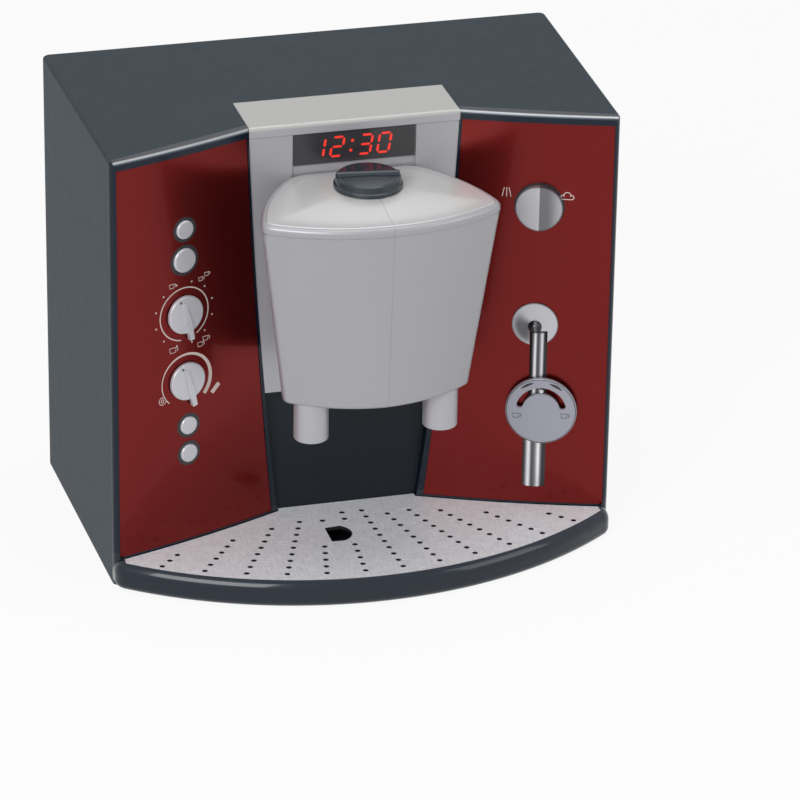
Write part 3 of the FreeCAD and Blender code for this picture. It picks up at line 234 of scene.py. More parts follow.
# %% [markdown]
# The casing and the tray surround are one dark slate moulding. Its sides and top are fine-grained
# and matt, while the frame round the panels and the tray's rim are polished. Two materials could be
# given to two sets of faces, but the border runs across faces, so the distance behind the front
# slopes decides instead, in one material.


# %% Slate casing
SLOPE = math.radians(21)
CORNER_X, CORNER_Y = 111, -42  # the casing's front corner, where a slope starts, in millimetres
FRAME_DEPTH = 3.4  # how far the polished frame reaches back, in millimetres
TRAY_TOP = 0.0150  # the height of the tray's rim, in metres


def slope_depth(finish):
    """How far a point lies behind the two slopes of the front, in millimetres."""
    x, y, _ = finish.axes()
    behind = y - CORNER_Y / 1000
    inwards = CORNER_X / 1000 - abs(x)
    return 1000 * (math.cos(SLOPE) * behind - math.sin(SLOPE) * inwards)


def casing_finish():
    finish = Finish("slate_casing")
    grainy = slope_depth(finish).soft_step(FRAME_DEPTH, FRAME_DEPTH + 0.5)
    rim = 1 - finish.height().soft_step(TRAY_TOP, TRAY_TOP + 0.0005)
    tone = finish.noise(22, 3)
    smooth = finish.mix(tone, (0.002, 0.008, 0.019), (0.003, 0.010, 0.023))
    matt = finish.mix(tone, (0.016, 0.027, 0.037), (0.020, 0.032, 0.043))
    wear = finish.noise(160, 4)
    return finish.surface(
        Base_Color=finish.mix(grainy, smooth, matt),
        Roughness=0.2 + 0.36 * grainy + 0.1 * (wear - 0.5),
        Specular_IOR_Level=0.2,
        Coat_Weight=(0.18 + 0.3 * rim) * (1 - grainy),
        Coat_Roughness=0.06,
        Normal=finish.bump(grainy * finish.noise(5200, 1), 0.2, 0.00003),
    )


def moulded(name, dark, light, gloss):
    """Plain dark plastic with a fine grain."""
    finish = Finish(name)
    tone = finish.noise(22, 3)
    wear = finish.noise(160, 4)
    return finish.surface(
        Base_Color=finish.mix(tone, dark, light),
        Roughness=gloss + 0.1 * (wear - 0.5),
        Specular_IOR_Level=0.2,
        Normal=finish.bump(finish.noise(9000, 1), 0.12, 0.00002),
    )


casing_slate = casing_finish()
slate_inner = moulded("slate_inner_moulding", (0.010, 0.014, 0.019), (0.013, 0.018, 0.024), 0.4)
print("slate finishes ready")

# %% [markdown]
# The panels are plastic plates with a deep red, faintly metallic print under clear gloss. A metal
# under a clear coat does the same: the red mirrors whatever is bright or dark in front of it, and
# the coat adds a second, sharper and colourless reflection. Fine flakes vary the red.


# %% Red gloss
def red_gloss(name):
    finish = Finish(name)
    flakes = finish.noise(5200, 1)
    cloud = finish.noise(14, 2)
    deep = finish.mix(cloud, (0.148, 0.0085, 0.0075), (0.164, 0.0105, 0.0095))
    return finish.surface(
        Base_Color=finish.mix(0.5 * flakes, deep, (0.190, 0.015, 0.013)),
        Metallic=0.92,
        Roughness=0.3 + 0.08 * (finish.noise(90, 3) - 0.5),
        Specular_IOR_Level=0.2,
        Coat_Weight=0.26,
        Coat_Roughness=0.08,
        Coat_IOR=1.38,
    )


red = red_gloss("red_gloss")
print("red finish ready")

# %% [markdown]
# Column, head, hood, dials and buttons are sprayed with silver paint. Its flakes lie nearly flat,
# so it is part metal and part matt, and from close by it sparkles a little. On the head and the
# hood the tone is paler above a height, which is painted light on their tops, and a slow noise
# varies it all over.


# %% Silver paint, with painted light on the tops
def silver_paint(name, cool, warm, metal, gloss):
    """Paint in two close tones; a low gloss number shines more."""
    finish = Finish(name)
    cloud = finish.noise(18, 3)
    flakes = finish.noise(7000, 1)
    return finish.surface(
        Base_Color=finish.mix(cloud, cool, warm),
        Metallic=metal,
        Roughness=gloss + 0.1 * (flakes - 0.5),
        Normal=finish.bump(flakes, 0.08, 0.00002),
    )


MID_GREY = (0.5, 0.5, 0.5)
DARK_LINE_X = 0.0012  # the thin darker line lies a little right of the middle, in metres


def head_paint(name, side_tone, painted_light_top_tone, top_from, dark_line_share):
    """Silver paint, paler on top as painted light, with a share of a darker line up the middle."""
    finish = Finish(name)
    x, _, z = finish.axes()
    flakes = finish.noise(7000, 1)
    cloud = 0.12 * finish.noise(18, 3)
    # a thin darker line in the colour up the middle
    dark_line = 1 - abs(x - DARK_LINE_X).soft_step(0.0001, 0.0004)
    # painted light: above top_from the tone turns paler, standing in for light on the top
    painted_light_on_top = z.soft_step(top_from, top_from + 0.001)
    sides = finish.mix(cloud, side_tone, MID_GREY)
    top = finish.mix(cloud, painted_light_top_tone, MID_GREY)
    paint = finish.mix(painted_light_on_top, sides, top)
    return finish.surface(
        Base_Color=finish.mix(dark_line_share * dark_line, paint, (0.2, 0.2, 0.22)),
        Metallic=0.3,
        Roughness=0.36 + 0.1 * (flakes - 0.5),
        Coat_Weight=0.12,
        Coat_Roughness=0.12,
        Normal=finish.bump(flakes, 0.08, 0.00002),
    )


silver = silver_paint("silver_paint", (0.42, 0.42, 0.45), (0.44, 0.44, 0.465), 0.35, 0.38)
silver_bright = silver_paint(
    "silver_paint_bright", (0.56, 0.565, 0.61), (0.60, 0.605, 0.64), metal=0.35, gloss=0.3)
silver_disc = silver_paint(
    "silver_paint_disc", (0.32, 0.325, 0.38), (0.35, 0.355, 0.405), metal=0.3, gloss=0.36)
silver_head = head_paint(
    "silver_paint_head", (0.365, 0.365, 0.39), (0.68, 0.675, 0.67),
    top_from=0.1730, dark_line_share=0.3)
silver_column = head_paint(
    "silver_paint_column", (0.40, 0.40, 0.425), (0.45, 0.45, 0.435),
    top_from=0.1955, dark_line_share=0.0)
print("silver finishes ready")

# %% [markdown]
# The grille is a thin plate with a brushed, slightly hatched look. Two noises stretched in opposite
# ways make the crossing strokes; they feed both the tone and the bump, so each stroke also catches
# the light.


# %% Brushed grille
GRILLE_FACE = 0.01205  # the height of the grille's upper face, in metres


def brushed(name):
    """Crossing brush strokes on the upper face; painted shade darkens the hole walls below it."""
    finish = Finish(name)
    strokes = finish.noise(1300, 3, 0.6, (1.0, 0.12, 1.0))
    crossing = finish.noise(1300, 3, 0.6, (0.12, 1.0, 1.0))
    hatch = 0.5 * (strokes + crossing)
    tone = hatch.soft_step(0.36, 0.64)
    # painted shade: below the upper face, in the holes, the colour is near black
    face = finish.height().soft_step(GRILLE_FACE, GRILLE_FACE + 0.0002)
    pale = finish.mix(tone, (0.70, 0.715, 0.75), (0.90, 0.915, 0.95))
    return finish.surface(
        Base_Color=finish.mix(face, (0.02, 0.02, 0.024), pale),
        Metallic=0.05,
        Roughness=0.42 + 0.12 * (hatch - 0.5),
        Normal=finish.bump(hatch, 0.15, 0.0001),
    )


grille_plate = brushed("brushed_plate")
print("grille finish ready")

# %% [markdown]
# The steam pipe and its ball are plated, and the stripes down the pipe are a painted reflection of
# the room: dark at both edges, then two bright bands with a dark one between. The relief here is
# shallow, so its own mirror image would be too even, and the stripes are laid into the colour by
# the distance across the pipe. The sleeve below is wider, so its painted stripes stand further
# apart, and the ball above the pipe is near black in the colour. All lengths are in millimetres.


# %% Plating and painted reflection
PIPE_ALONG, SLEEVE_TOP = 33.5, 58  # the pipe's axis along the slope and its sleeve's top
ELBOW = 37.5  # the ball over the pipe starts this far above the sleeve
BAND_HALF = 5  # the stripes are laid out this far to each side of the axis


def from_centre(finish, along, up):
    """How far right of and above a place on the right slope a point lies, in millimetres."""
    x, y, z = finish.axes()
    inwards = CORNER_X / 1000 - x
    behind = y - CORNER_Y / 1000
    across = 1000 * (math.cos(SLOPE) * inwards + math.sin(SLOPE) * behind)
    return along - across, 1000 * z - up


def painted_stripe_bands(finish, right, stops):
    """Painted reflection stripes; stops are (millimetres right of the pipe's axis, tone)."""
    ramp = []
    for place, tone in stops:
        ramp.append(((place + BAND_HALF) / (2 * BAND_HALF), (1.7 * tone, 1.7 * tone, 1.78 * tone)))
    share = (right + BAND_HALF) / (2 * BAND_HALF)
    return finish.node("ShaderNodeValToRGB", {"stops": ramp}, {0: share})


def plated_with_painted_stripes(name):
    """Painted reflection stripes of the pipe above the sleeve's top and of the sleeve below it."""
    finish = Finish(name)
    right, rise = from_centre(finish, PIPE_ALONG, SLEEVE_TOP)
    # painted reflection: tones of the stripes across the pipe and, wider, across the sleeve
    thin = [(-2.5, 0.014), (-2.0, 0.025), (-1.5, 0.13), (-1.0, 0.42), (-0.5, 0.48), (0.0, 0.11),
            (0.5, 0.034), (1.0, 0.05), (1.5, 0.14), (2.0, 0.33), (2.5, 0.42), (3.0, 0.06),
            (3.5, 0.015)]
    thick = [(-4.7, 0.03), (-4.0, 0.09), (-3.5, 0.24), (-3.0, 0.47), (-2.5, 0.56), (-2.0, 0.42),
             (-1.5, 0.18), (-1.0, 0.045), (0.0, 0.08), (0.5, 0.14), (1.0, 0.26), (1.5, 0.46),
             (2.0, 0.55), (2.5, 0.25), (3.0, 0.09), (3.5, 0.022)]
    sleeve, pipe = painted_stripe_bands(finish, right, thick), painted_stripe_bands(finish, right, thin)
    bands = finish.mix(rise.soft_step(-0.1, 0.1), sleeve, pipe)
    ball = rise.soft_step(ELBOW - 0.2, ELBOW + 0.2)
    bands = finish.mix(0.85 * ball, bands, (0.02, 0.02, 0.022))
    return finish.surface(
        Base_Color=bands,
        Metallic=0.6,
        Roughness=0.2 + 0.08 * finish.noise(300, 2),
    )


plating_with_painted_stripes = plated_with_painted_stripes("pipe_painted_reflection")
print("plating ready")

# %% [markdown]
# The steam knob and the rosette are turned on a lathe, with fine rings in their tone. Their light
# and dark are painted into the colour: the rosette has a painted reflection, one dark wedge that
# points left and a little down, and the knob, drawn in along a ridge, has painted shade that starts
# dark just right of the ridge and lightens outwards.


# %% Turned metal, with painted light and shade
def turned(name, along, up, edge, shade):
    """Rings round a place on the right slope; shade gives each point's share of painted dark."""
    finish = Finish(name)
    right, rise = from_centre(finish, along, up)
    radius = (right * right + rise * rise) ** 0.5
    grooves = {"W": radius, "Scale": 5.0, "Detail": 3.0}
    rings = finish.node("ShaderNodeTexNoise", {"noise_dimensions": "1D"}, grooves)
    # painted light and shade: each point's share of painted dark, from the shade function
    dark = shade(right, rise, rise.maths("ARCTAN2", rise, right), radius)
    rim = radius.soft_step(edge - 0.5, edge)
    face = finish.mix(dark, (0.53, 0.525, 0.56), (0.04, 0.04, 0.045))
    ringed = finish.mix(0.25 * rings, face, (0.5, 0.5, 0.54))
    return finish.surface(
        Base_Color=finish.mix(0.7 * rim, ringed, (0.05, 0.05, 0.06)),
        Metallic=0.4,
        Roughness=0.3 + 0.1 * (rings - 0.5),
        Normal=finish.bump(rings, 0.1, 0.00003),
    )


def painted_ridge_shade(right, rise, angle, radius):
    """Painted shade: dark just right of the ridge, and lighter outwards."""
    return 0.85 * right.soft_step(0, 0.35) * (1 - 0.8 * right.soft_step(3.0, 11.0))


def painted_reflection_wedge(right, rise, angle, radius):
    """Painted reflection: one dark wedge pointing left and a little down, fading to the rim."""
    turn = angle - math.radians(205)
    wedge = turn.maths("COSINE", turn).soft_step(0.2, 0.95)
    return 0.95 * wedge * (1 - radius.soft_step(7.0, 11.0))


KNOB_ALONG, KNOB_UP = 34.2, 154.7
turned_knob = turned("turned_knob", KNOB_ALONG, KNOB_UP, 10.0, painted_ridge_shade)
turned_rosette = turned("turned_rosette", 34.6, 99.3, 9.9, painted_reflection_wedge)
print("turned finishes ready")

# %% [markdown]
# Small parts that hardly show still get their real stuff: a smoked window, soft rings, green
# boards, clear tank plastic, plated screws. Each node then wears the finish of its slot, and a few
# that look different from the rest of their slot wear a special one.


# %% Small finishes
def plain_stuff(name, dark, light, gloss, metal=0.0, scale=300, through=0.0):
    """A stuff in two close tones; scale is its grain and through how clear it is."""
    finish = Finish(name)
    tone = finish.noise(scale, 3)
    return finish.surface(
        Base_Color=finish.mix(tone, dark, light),
        Metallic=metal,
        Roughness=gloss + 0.12 * (finish.noise(scale * 2, 2) - 0.5),
        Transmission_Weight=through,
        Normal=finish.bump(finish.noise(scale * 8, 1), 0.1, 0.00003),
    )


window = plain_stuff("smoked_window", (0.036, 0.034, 0.038), (0.046, 0.043, 0.047), 0.16, scale=60)
cap_black = plain_stuff("cap_moulding", (0.016, 0.026, 0.036), (0.021, 0.033, 0.045), 0.2, scale=120)
black = plain_stuff("black_moulding", (0.020, 0.020, 0.021), (0.030, 0.030, 0.031), 0.5)
rubber = plain_stuff("soft_ring", (0.028, 0.028, 0.028), (0.042, 0.042, 0.042), 0.75)
board = plain_stuff("board_green", (0.018, 0.10, 0.045), (0.030, 0.15, 0.065), 0.4, scale=900)
tank = plain_stuff("tank_plastic", (0.62, 0.65, 0.67), (0.68, 0.71, 0.73), 0.3, through=0.6)
steel = plain_stuff("plated_steel", (0.50, 0.50, 0.51), (0.62, 0.62, 0.63), 0.3, 1.0, scale=700)
natural = plain_stuff("natural_clip", (0.62, 0.62, 0.59), (0.70, 0.70, 0.67), 0.45)
cone = plain_stuff("speaker_cone", (0.018, 0.018, 0.018), (0.034, 0.033, 0.032), 0.7, scale=800)

finishes = {
    "slate": casing_slate, "slate_inner": slate_inner, "red": red, "silver": silver,
    "bright": plating_with_painted_stripes, "window": window, "clear_tank": tank, "seal": rubber, "board": board,
    "speaker_black": cone, "steel": steel, "black_plastic": black, "clip": natural,
}
special = {
    "head_top": silver_head, "head_shell": silver_head, "column": silver_column,
    "drip_grille": grille_plate, "filler_cap": cap_black, "pipe_rosette": turned_rosette,
    "steam_knob": turned_knob, "frother_disc": silver_disc,
}
for name in ("upper_dial", "lower_dial", "button_1", "button_2", "button_3", "button_4"):
    special[name] = silver_bright
for part in frame["record"]["subparts"]:
    name = part["node"]
    coat = special.get(name, finishes[part["material_slot"]])
    piece = nodes[name]
    piece.data.materials.clear()
    piece.data.materials.append(coat)

# %% [markdown]
# The head's cover has a rounded shoulder with a fine raised line along its upper edge, which the
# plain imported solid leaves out. Walking once round the cover's outline gives a ring of points; the
# same ring drawn in by small steps, at the heights of the shoulder, makes every further loop. The
# loops then run in to the round neck under the cap, down its bore and back along the underside.
# Lengths are in millimetres until a loop is made.


# %% Cover of the head
def arc_points(centre, radius, start, stop, steps):
    """Points of an arc with the way out at each of them."""
    places = []
    for i in range(steps):
        angle = math.radians(start + (stop - start) * i / steps)
        way = Vector((math.cos(angle), math.sin(angle)))
        places.append((Vector(centre) + radius * way, way))
    return places


# The side, the corner and the front of the right half meet at these two directions, in degrees.
SIDE_END, CORNER_END = 12.53, -58.07
right_half = arc_points((-40.4, -80.99), 94.1, 42.5, SIDE_END, 22)
right_half += arc_points((45.6, -61.87), 6.0, SIDE_END, CORNER_END, 12)
right_half += arc_points((2.28, 7.63), 87.9, CORNER_END, -91.5, 26)
left_half = [(Vector((-p.x, p.y)), Vector((-w.x, w.y))) for p, w in reversed(right_half)]
outline = right_half + [(Vector((0, -80.2)), Vector((0, -1)))] + left_half
BACK, BACK_HALF, BACK_STEPS = -17.4, 29, 14  # the straight edge along the column
for i in range(1, BACK_STEPS):
    across = -BACK_HALF + 2 * BACK_HALF * i / BACK_STEPS
    outline.append((Vector((across, BACK)), Vector((0, 0))))

# Each pair is a step outwards and a height, from the lower edge to the raised line.
LOWER_EDGE, UNDERSIDE, WALL = 169.22, 171.2, 3.1
shoulder = [(-0.55, LOWER_EDGE), (-0.2, 169.5), (0, 170.1), (0, 171.4), (-0.15, 172.2),
            (-0.55, 172.85), (-1.15, 173.2), (-1.75, 173.28), (-2.05, 173.2), (-2.3, 173.3),
            (-2.55, 173.55), (-2.85, 173.62), (-3.2, 173.6)]
# Each pair is a radius and a height, from the neck's outside over its mouth and down its bore.
NECK, NECK_RADIUS, NECK_FOOT = Vector((0, -40.5)), 12.0, 176.1
neck = [(NECK_RADIUS, 178.4), (11.75, 178.7), (10.75, 178.7), (10.5, 178.4), (10.5, 165.7),
        (NECK_RADIUS, 165.7), (NECK_RADIUS, UNDERSIDE)]
DOME_STEPS = 11
cover = bmesh.new()


def loop(points, height):
    return [cover.verts.new(Vector((p.x, p.y, height)) / 1000) for p in points]


def moved_out(step):
    """The outline moved out by step; the edge along the column only gets wider."""
    moved = []
    for point, way in outline:
        wider = Vector((point.x * (1 + step / BACK_HALF), point.y))
        moved.append(point + way * step if way.length else wider)
    return moved


def ring_of(radius):
    return [NECK + (p - NECK).normalized() * radius for p, _ in outline]


loops = [loop(moved_out(step), height) for step, height in shoulder]
last_step, last_height = shoulder[-1]
edge, mouth = moved_out(last_step), ring_of(NECK_RADIUS)
for k in range(1, DOME_STEPS + 1):
    t = k / DOME_STEPS
    height = last_height + (NECK_FOOT - last_height) * t * t * (3 - 2 * t)
    loops.append(loop([a.lerp(b, t) for a, b in zip(edge, mouth)], height))
loops += [loop(ring_of(radius), height) for radius, height in neck]
loops += [loop(moved_out(-WALL), height) for height in (UNDERSIDE, LOWER_EDGE)]
for first, second in zip(loops, loops[1:] + loops[:1]):
    for i in range(len(outline)):
        j = (i + 1) % len(outline)
        cover.faces.new((first[i], first[j], second[j], second[i]))
bmesh.ops.recalc_face_normals(cover, faces=cover.faces)
for face in cover.faces:
    face.smooth = True
head_cover = built("head_cover", cover, silver_head)
head_cover.data.set_sharp_from_angle(angle=math.radians(38))
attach(head_cover, "casing")
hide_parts("head_top")
print("head cover", len(head_cover.data.polygons), "faces")

# %% [markdown]
# The red panels carry printed marks: scales round the dials, dots, small signs. Printing has no
# height to speak of, so each mark is a flat ribbon of mesh a few hundredths of a millimetre off the
# panel, laid out in millimetres on the slope and then carried over to the curved face.


# %% Ribbons on a slope
FRONT_RADIUS = 560  # each slope is bowed this gently, in millimetres


def face_out(along, middle=43.4, middle_out=1.38):
    """How far the bowed face stands out of the slope's chord; the numbers given are the panel's."""
    return middle_out - (along - middle) ** 2 / (2 * FRONT_RADIUS)


def on_slope(side, along, up, out):
    """A point given in millimetres on a slope, in metres in the frame; side is 1 on the right."""
    x = side * (CORNER_X - along * math.cos(SLOPE) - out * math.sin(SLOPE))
    y = CORNER_Y + along * math.sin(SLOPE) - out * math.cos(SLOPE)
    return Vector((x, y, up)) / 1000


def ribbon(points, width, closed=False):
    """The two edges of a stroke of a given width through flat points; width may vary by point."""
    count = len(points)
    widths = width if isinstance(width, list) else [width] * count
    edges = []
    for i, point in enumerate(points):
        before = points[i - 1] if i or closed else point
        after = points[(i + 1) % count] if i < count - 1 or closed else point
        way = (Vector(after) - Vector(before)).normalized()
        aside = Vector((-way.y, way.x)) * widths[i] / 2
        edges.append((Vector(point) + aside, Vector(point) - aside))
    return edges


def arc(centre, radius, start, stop, steps):
    """Points on a part of a circle, in degrees."""
    points = []
    for i in range(steps + 1):
        angle = math.radians(start + (stop - start) * i / steps)
        points.append((centre[0] + radius * math.cos(angle), centre[1] + radius * math.sin(angle)))
    return points


class Print:
    """Flat marks collected in one mesh. The layout takes flat points to places in the frame."""

    def __init__(self, name, layout, finish, body):
        self.name = name
        self.layout = layout
        self.finish = finish
        self.body = body
        self.mesh = bmesh.new()

    def stroke(self, points, width, closed=False):
        edges = ribbon(points, width, closed)
        pairs = [[self.mesh.verts.new(self.layout(p.x, p.y)) for p in edge] for edge in edges]
        count = len(pairs)
        for i in range(count if closed else count - 1):
            a, b = pairs[i]
            d, c = pairs[(i + 1) % count]
            self.mesh.faces.new((a, b, c, d))

    def dot(self, centre, radius):
        round_it = arc(centre, radius, 0, 337.5, 15)
        self.mesh.faces.new([self.mesh.verts.new(self.layout(x, y)) for x, y in round_it])

    def done(self):
        bmesh.ops.recalc_face_normals(self.mesh, faces=self.mesh.faces)
        piece = built(self.name, self.mesh, self.finish)
        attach(piece, self.body)
        print("printed", self.name, len(piece.data.polygons), "faces")


def slope_layout(side, lift=0.04):
    """Flat points are (viewer's right, up) in millimetres from the slope's outer corner."""
    def place(right, up):
        along = right if side < 0 else -right
        return on_slope(side, along, up, face_out(along) + lift)
    return place


print("ribbon tools ready")

# %% [markdown]
# The rounded top edge of each slope is polished, and a painted highlight lays one clean line of
# light along it: a pale metallic band over the upper part of the rounding. The packed solid's
# edge is made of long flat facets, which would break that line up. A thin skin bent round the
# same edge, with many short steps and smooth shading, lets the line run through unbroken.


# %% Polished top edges with a painted highlight
PAINTED_HIGHLIGHT_FROM = 0.19625  # painted highlight: the bright line covers the rounding above this height, in metres
FRAME_MIDDLE, FRAME_OUT = 43.38, 1.68  # where the frame's bowed face stands out most, and how far
EDGE_ROUND, EDGE_TOP, SKIN = 1.3, 197.0, 0.03
EDGE_START, EDGE_LENGTH = 1.6, 67.6
LONG_STEPS, ROUND_STEPS = 60, 12


def edge_painted_highlight(name):
    """Navy below and a painted highlight line over the upper part of the rounding."""
    finish = Finish(name)
    navy = finish.mix(finish.noise(60, 3), (0.018, 0.034, 0.058), (0.022, 0.040, 0.066))
    # painted highlight: a pale metallic band over the upper part of the rounding
    line = finish.height().soft_step(PAINTED_HIGHLIGHT_FROM, PAINTED_HIGHLIGHT_FROM + 0.0003)
    return finish.surface(
        Base_Color=finish.mix(line, navy, (0.30, 0.31, 0.32)),
        Metallic=line,
        Roughness=0.34 + 0.06 * (finish.noise(400, 2) - 0.5),
    )


edges = bmesh.new()
for side in (-1, 1):
    rows = []
    for i in range(LONG_STEPS + 1):
        along = EDGE_START + EDGE_LENGTH * i / LONG_STEPS
        bow = face_out(along, FRAME_MIDDLE, FRAME_OUT)
        row = []
        for k in range(ROUND_STEPS + 1):
            angle = math.radians(90 * k / ROUND_STEPS)
            out = bow - EDGE_ROUND + (EDGE_ROUND + SKIN) * math.cos(angle)
            up = EDGE_TOP - EDGE_ROUND + (EDGE_ROUND + SKIN) * math.sin(angle)
            row.append(edges.verts.new(on_slope(side, along, up, out)))
        rows.append(row)
    for row, after in zip(rows, rows[1:]):
        for k in range(ROUND_STEPS):
            edges.faces.new((row[k], row[k + 1], after[k + 1], after[k])[::side])
for face in edges.faces:
    face.smooth = True
top_edges = built("top_edges", edges, edge_painted_highlight("edge_painted_highlight"))
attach(top_edges, "casing")
print("top edges", len(top_edges.data.polygons), "faces")

# %% [markdown]
# The upper dial has a thin ring with a gap at its pointer and a circle of dots; the lower dial has
# an arc that swells as it goes round. Small cups and a spot stand beside them, dark rings of shadow
# print lie round the buttons, and each dial carries a short dark mark that turns with it.


# %% Scales and dots
PRINT_GRAIN = 2000
pale_print = plain_stuff(
    "pale_print", (0.62, 0.50, 0.46), (0.72, 0.60, 0.56), 0.4, scale=PRINT_GRAIN)
dark_print = plain_stuff(
    "dark_print", (0.018, 0.018, 0.020), (0.028, 0.028, 0.032), 0.45, scale=PRINT_GRAIN)

left = Print("left_panel_marks", slope_layout(-1), pale_print, "casing")
upper = (35.7, 120.5)
left.stroke(arc(upper, 12.1, -60, 262, 90), 0.55)
for place in arc(upper, 14.6, 15, 345, 11):
    left.dot(place, 0.42)
lower = (36.6, 89.1)
swell = [0.45 + 1.6 * max(0.0, (i - 20) / 70) for i in range(91)]
left.stroke(arc(lower, 12.3, 225, -43, 90), swell)


def cup_sign(marks, x, y, size, line=0.35):
    """A cup seen from the side: a bowl, a rim and a round handle."""
    bowl = [(x - size, y + 0.6 * size), (x - 0.75 * size, y - 0.6 * size),
            (x + 0.5 * size, y - 0.6 * size), (x + 0.75 * size, y + 0.6 * size)]
    marks.stroke(bowl, line, closed=True)
    marks.stroke(arc((x + 0.8 * size, y + 0.1 * size), 0.42 * size, -80, 80, 10), line)


for right, up, size in ((29.7, 134.7, 1.5), (44.2, 134.6, 1.3), (47.2, 136.2, 1.3),
                        (30.0, 104.8, 1.9), (43.9, 104.2, 1.6), (46.6, 106.4, 1.6)):
    cup_sign(left, right, up, size)
left.stroke(arc((24.5, 82.3), 1.7, 0, 350, 24), 0.35)
left.stroke(arc((24.5, 82.3), 0.7, 0, 350, 16), 0.35)
left.stroke([(49.6, 79.8), (53.4, 83.4)], 2.1)
left.done()

rings = Print("button_rings", slope_layout(-1, 0.03), dark_print, "casing")
for right, up, radius in ((36.1, 159.3, 4.2), (35.9, 145.3, 5.5),
                          (37.6, 67.6, 4.2), (37.7, 54.4, 4.2)):
    rings.stroke(arc((right, up), radius + 0.85, 0, 352.5, 47), 1.3, closed=True)
rings.done()


def front_of(node, side):
    """How far a piece's flat front stands out of the slope's chord, in millimetres."""
    outs = []
    for corner in nodes[node].data.vertices:
        point = 1000 * corner.co
        inwards, behind = CORNER_X - side * point.x, point.y - CORNER_Y
        outs.append(math.sin(SLOPE) * inwards - math.cos(SLOPE) * behind)
    return max(outs)


def front_layout(node, side, lift=0.03):
    """As slope_layout, but on the flat front of a piece."""
    out = front_of(node, side) + lift

    def place(right, up):
        return on_slope(side, right if side < 0 else -right, up, out)
    return place


for name, (right, up) in {"upper_dial": upper, "lower_dial": lower}.items():
    index = Print(name + "_index", front_layout(name, -1, 0.02), dark_print, name)
    index.stroke([(right - 3.6, up + 6.3), (right - 3.2, up + 7.2)], 0.9)
    index.done()

# %% [markdown]
# The right panel has three rising lines left of the steam knob, a small cloud right of it and a
# dark line of shadow round it. The disc below carries two tapered strokes, a fine ring and two cups,
# and all of them turn with it.

# %% Marks of the right panel
signs = Print("right_panel_marks", slope_layout(1), pale_print, "casing")
for step in (-1, 0, 1):
    foot = -48.4 + 1.9 * step
    signs.stroke([(foot, 158.6), (foot - 0.9 * step, 162.8)], 0.35)
signs.stroke(arc((-22.4, 160.2), 1.5, -20, 200, 16), 0.4)
signs.stroke(arc((-24.2, 159.4), 1.0, 90, 270, 12), 0.4)
signs.stroke(arc((-20.6, 159.4), 1.0, -90, 90, 12), 0.4)
signs.stroke([(-24.2, 158.4), (-20.6, 158.4)], 0.4)
signs.done()
shade = Print("knob_ring", slope_layout(1, 0.03), dark_print, "casing")
shade.stroke(arc((-KNOB_ALONG, KNOB_UP), 10.5, 0, 355, 71), 0.7, closed=True)
shade.done()

disc = Print("disc_marks", front_layout("frother_disc", 1), dark_print, "frother_disc")
centre = (-30.8, 59.1)
spindle = [0.35 + 0.85 * math.sin(math.pi * i / 12) for i in range(13)]
for start in (50, 105):
    disc.stroke(arc(centre, 13.7, start, start + 25, 12), spindle)
disc.stroke(arc(centre, 15.1, 0, 356, 89), 0.3, closed=True)
cup_sign(disc, centre[0] - 10.7, centre[1] - 2.6, 1.7, 0.3)
cup_sign(disc, centre[0] + 10.3, centre[1] - 1.7, 1.7, 0.3)
disc.done()

# %% [markdown]
# On the smoked window four plain digits glow, slanted as such displays are. Each digit has up to
# seven bars, and a bar is a ribbon with pointed ends made by narrow first and last widths.

# %% Display digits
def glow(name):
    """Red light in fine rows."""
    finish = Finish(name)
    z = finish.height()
    rows = z.maths("SINE", z * 9000)
    tone = finish.mix(0.5 + 0.35 * rows, (0.62, 0.02, 0.012), (0.95, 0.05, 0.025))
    return finish.surface(
        Base_Color=(0.3, 0.01, 0.01),
        Emission_Color=tone,
        Emission_Strength=0.95,
        Roughness=0.4,
    )


# Each bar joins two of six knots, given as column and row.
BARS = {"a": ((0, 2), (1, 2)), "b": ((1, 2), (1, 1)), "c": ((1, 1), (1, 0)), "d": ((0, 0), (1, 0)),
        "e": ((0, 1), (0, 0)), "f": ((0, 2), (0, 1)), "g": ((0, 1), (1, 1))}
LIT = {"0": "abcdef", "1": "bc", "2": "abged", "3": "abgcd"}
DISPLAY_MIDDLE = 185.2  # the height of the digits' middle row, in millimetres
window_low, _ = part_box("display_window")
pane = window_low.y - 0.00006


def window_layout(x, y):
    return Vector((x / 1000, pane, (DISPLAY_MIDDLE + y) / 1000))


digits = Print("display_digits", window_layout, glow("display_glow"), "casing")
tall, wide, slant = 4.3, 5.0, 0.16
for left_edge, digit in zip((-18.2, -10.0, -2.4, 2.4, 10.6), "12:30"):
    if digit == ":":
        for height in (-2.2, 2.2):
            digits.dot((left_edge + 1.2 + slant * height, height), 0.7)
        continue
    for bar in LIT[digit]:
        ends = []
        for col, row in BARS[bar]:
            height = (row - 1) * tall
            ends.append(Vector((left_edge + col * wide + slant * height, height)))
        way = (ends[1] - ends[0]).normalized() * 0.45
        first, last = ends[0] + way, ends[1] - way
        points = [first, first + way, last - way, last]
        digits.stroke([tuple(p) for p in points], [0.2, 1.05, 1.05, 0.2])
digits.done()

# %% [markdown]
# A real studio has a white paper sweep under and behind the machine; here a wide plane does it.
# Seen directly or in a reflection it is mixed with plain white, so it joins the white room, and a
# part of it stays matt so that the machine's shadow still falls on it.


# %% Floor
def seen_directly(finish):
    """1 for rays from the camera and for those that come off or through a shiny piece."""
    eye_ray = finish.node("ShaderNodeLightPath", out="Is Camera Ray")
    gloss_ray = finish.node("ShaderNodeLightPath", out="Is Glossy Ray")
    glass_ray = finish.node("ShaderNodeLightPath", out="Is Transmission Ray")
    every = eye_ray + gloss_ray + glass_ray
    return every.maths("MINIMUM", every, 1.0)


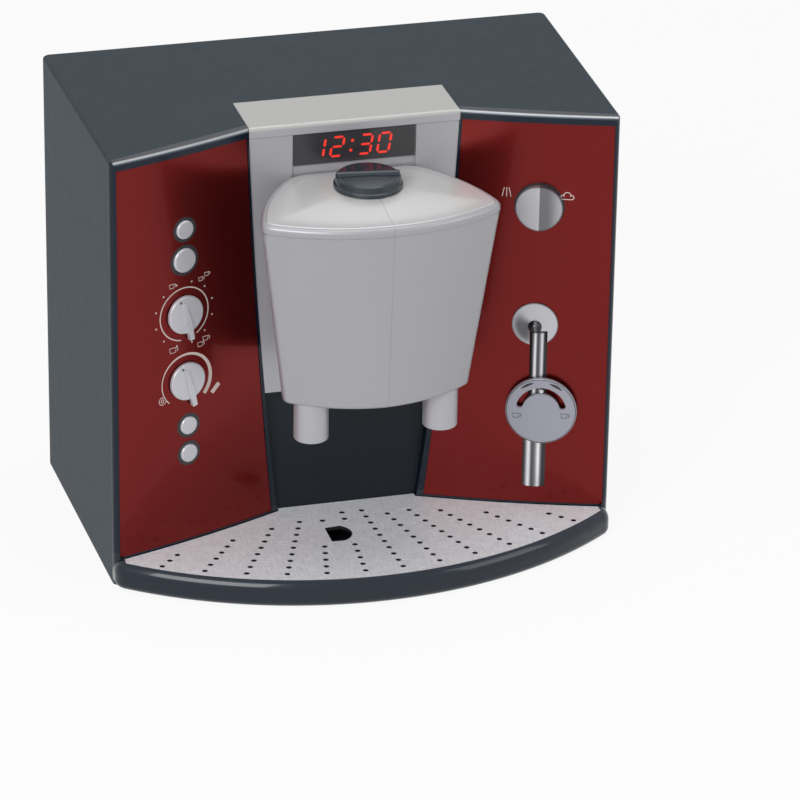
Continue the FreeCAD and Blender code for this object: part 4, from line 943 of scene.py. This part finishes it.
WHITE = (1.0, 1.0, 1.0)
paper = Finish("white_sweep")
paper.surface(
    Base_Color=paper.mix(paper.noise(3, 2), (0.92, 0.92, 0.92), (0.94, 0.94, 0.94)),
    Roughness=0.9,
    Specular_IOR_Level=0.1,
)
matt = Wire(paper, paper.skin.outputs[0])
plain_white = paper.node("ShaderNodeEmission", None, {"Color": WHITE, "Strength": 1.0})
white_share = 0.9 * seen_directly(paper)
sweep = paper.node("ShaderNodeMixShader", None, {0: white_share, 1: matt, 2: plain_white})
paper.feed(paper.tree.nodes["Material Output"], "Surface", sweep)

plan = bmesh.new()
bmesh.ops.create_grid(plan, x_segments=8, y_segments=8, size=9)
floor = built("floor", plan, paper.material)
floor.location.z = -0.0002
print("floor", len(floor.data.polygons), "faces")

# %% [markdown]
# The room is white too. The same trick keeps the light plain: rays that the camera or a shiny piece
# sends out see white at full strength, while matt surfaces get a softer share from all round and
# the rest from three wide lamps.


# %% Room and lamps
class Room(Finish):
    """The world's nodes, written with the same formulas as a material's."""

    def __init__(self, name):
        self.world = bpy.data.worlds.new(name)
        self.world.use_nodes = True
        self.tree = self.world.node_tree
        self.skin = self.tree.nodes["Background"]


MATT_SHARE = 0.24  # how bright the room is for matt surfaces
room = Room("white_room")
room.feed(room.skin, "Color", WHITE)
room.feed(room.skin, "Strength", MATT_SHARE + (1 - MATT_SHARE) * seen_directly(room))
bpy.context.scene.world = room.world


def lamp(name, place, size, watts):
    """A wide lamp that shines on the machine's middle."""
    light = bpy.data.lights.new(name, "AREA")
    light.shape = "RECTANGLE"
    light.size, light.size_y = size
    light.energy = watts
    piece = shown(name, light)
    piece.location = place
    piece.rotation_mode = "QUATERNION"
    piece.rotation_quaternion = (Vector((0, 0, 0.1)) - Vector(place)).to_track_quat("-Z", "Y")
    print(name, watts, "watts")


lamp("key_lamp", (-1.2, -1.5, 1.3), (1.3, 1.0), 27)
lamp("fill_lamp", (1.5, -1.2, 1.0), (1.0, 1.0), 6)
lamp("top_lamp", (0.1, 0.1, 1.9), (1.4, 1.2), 10)
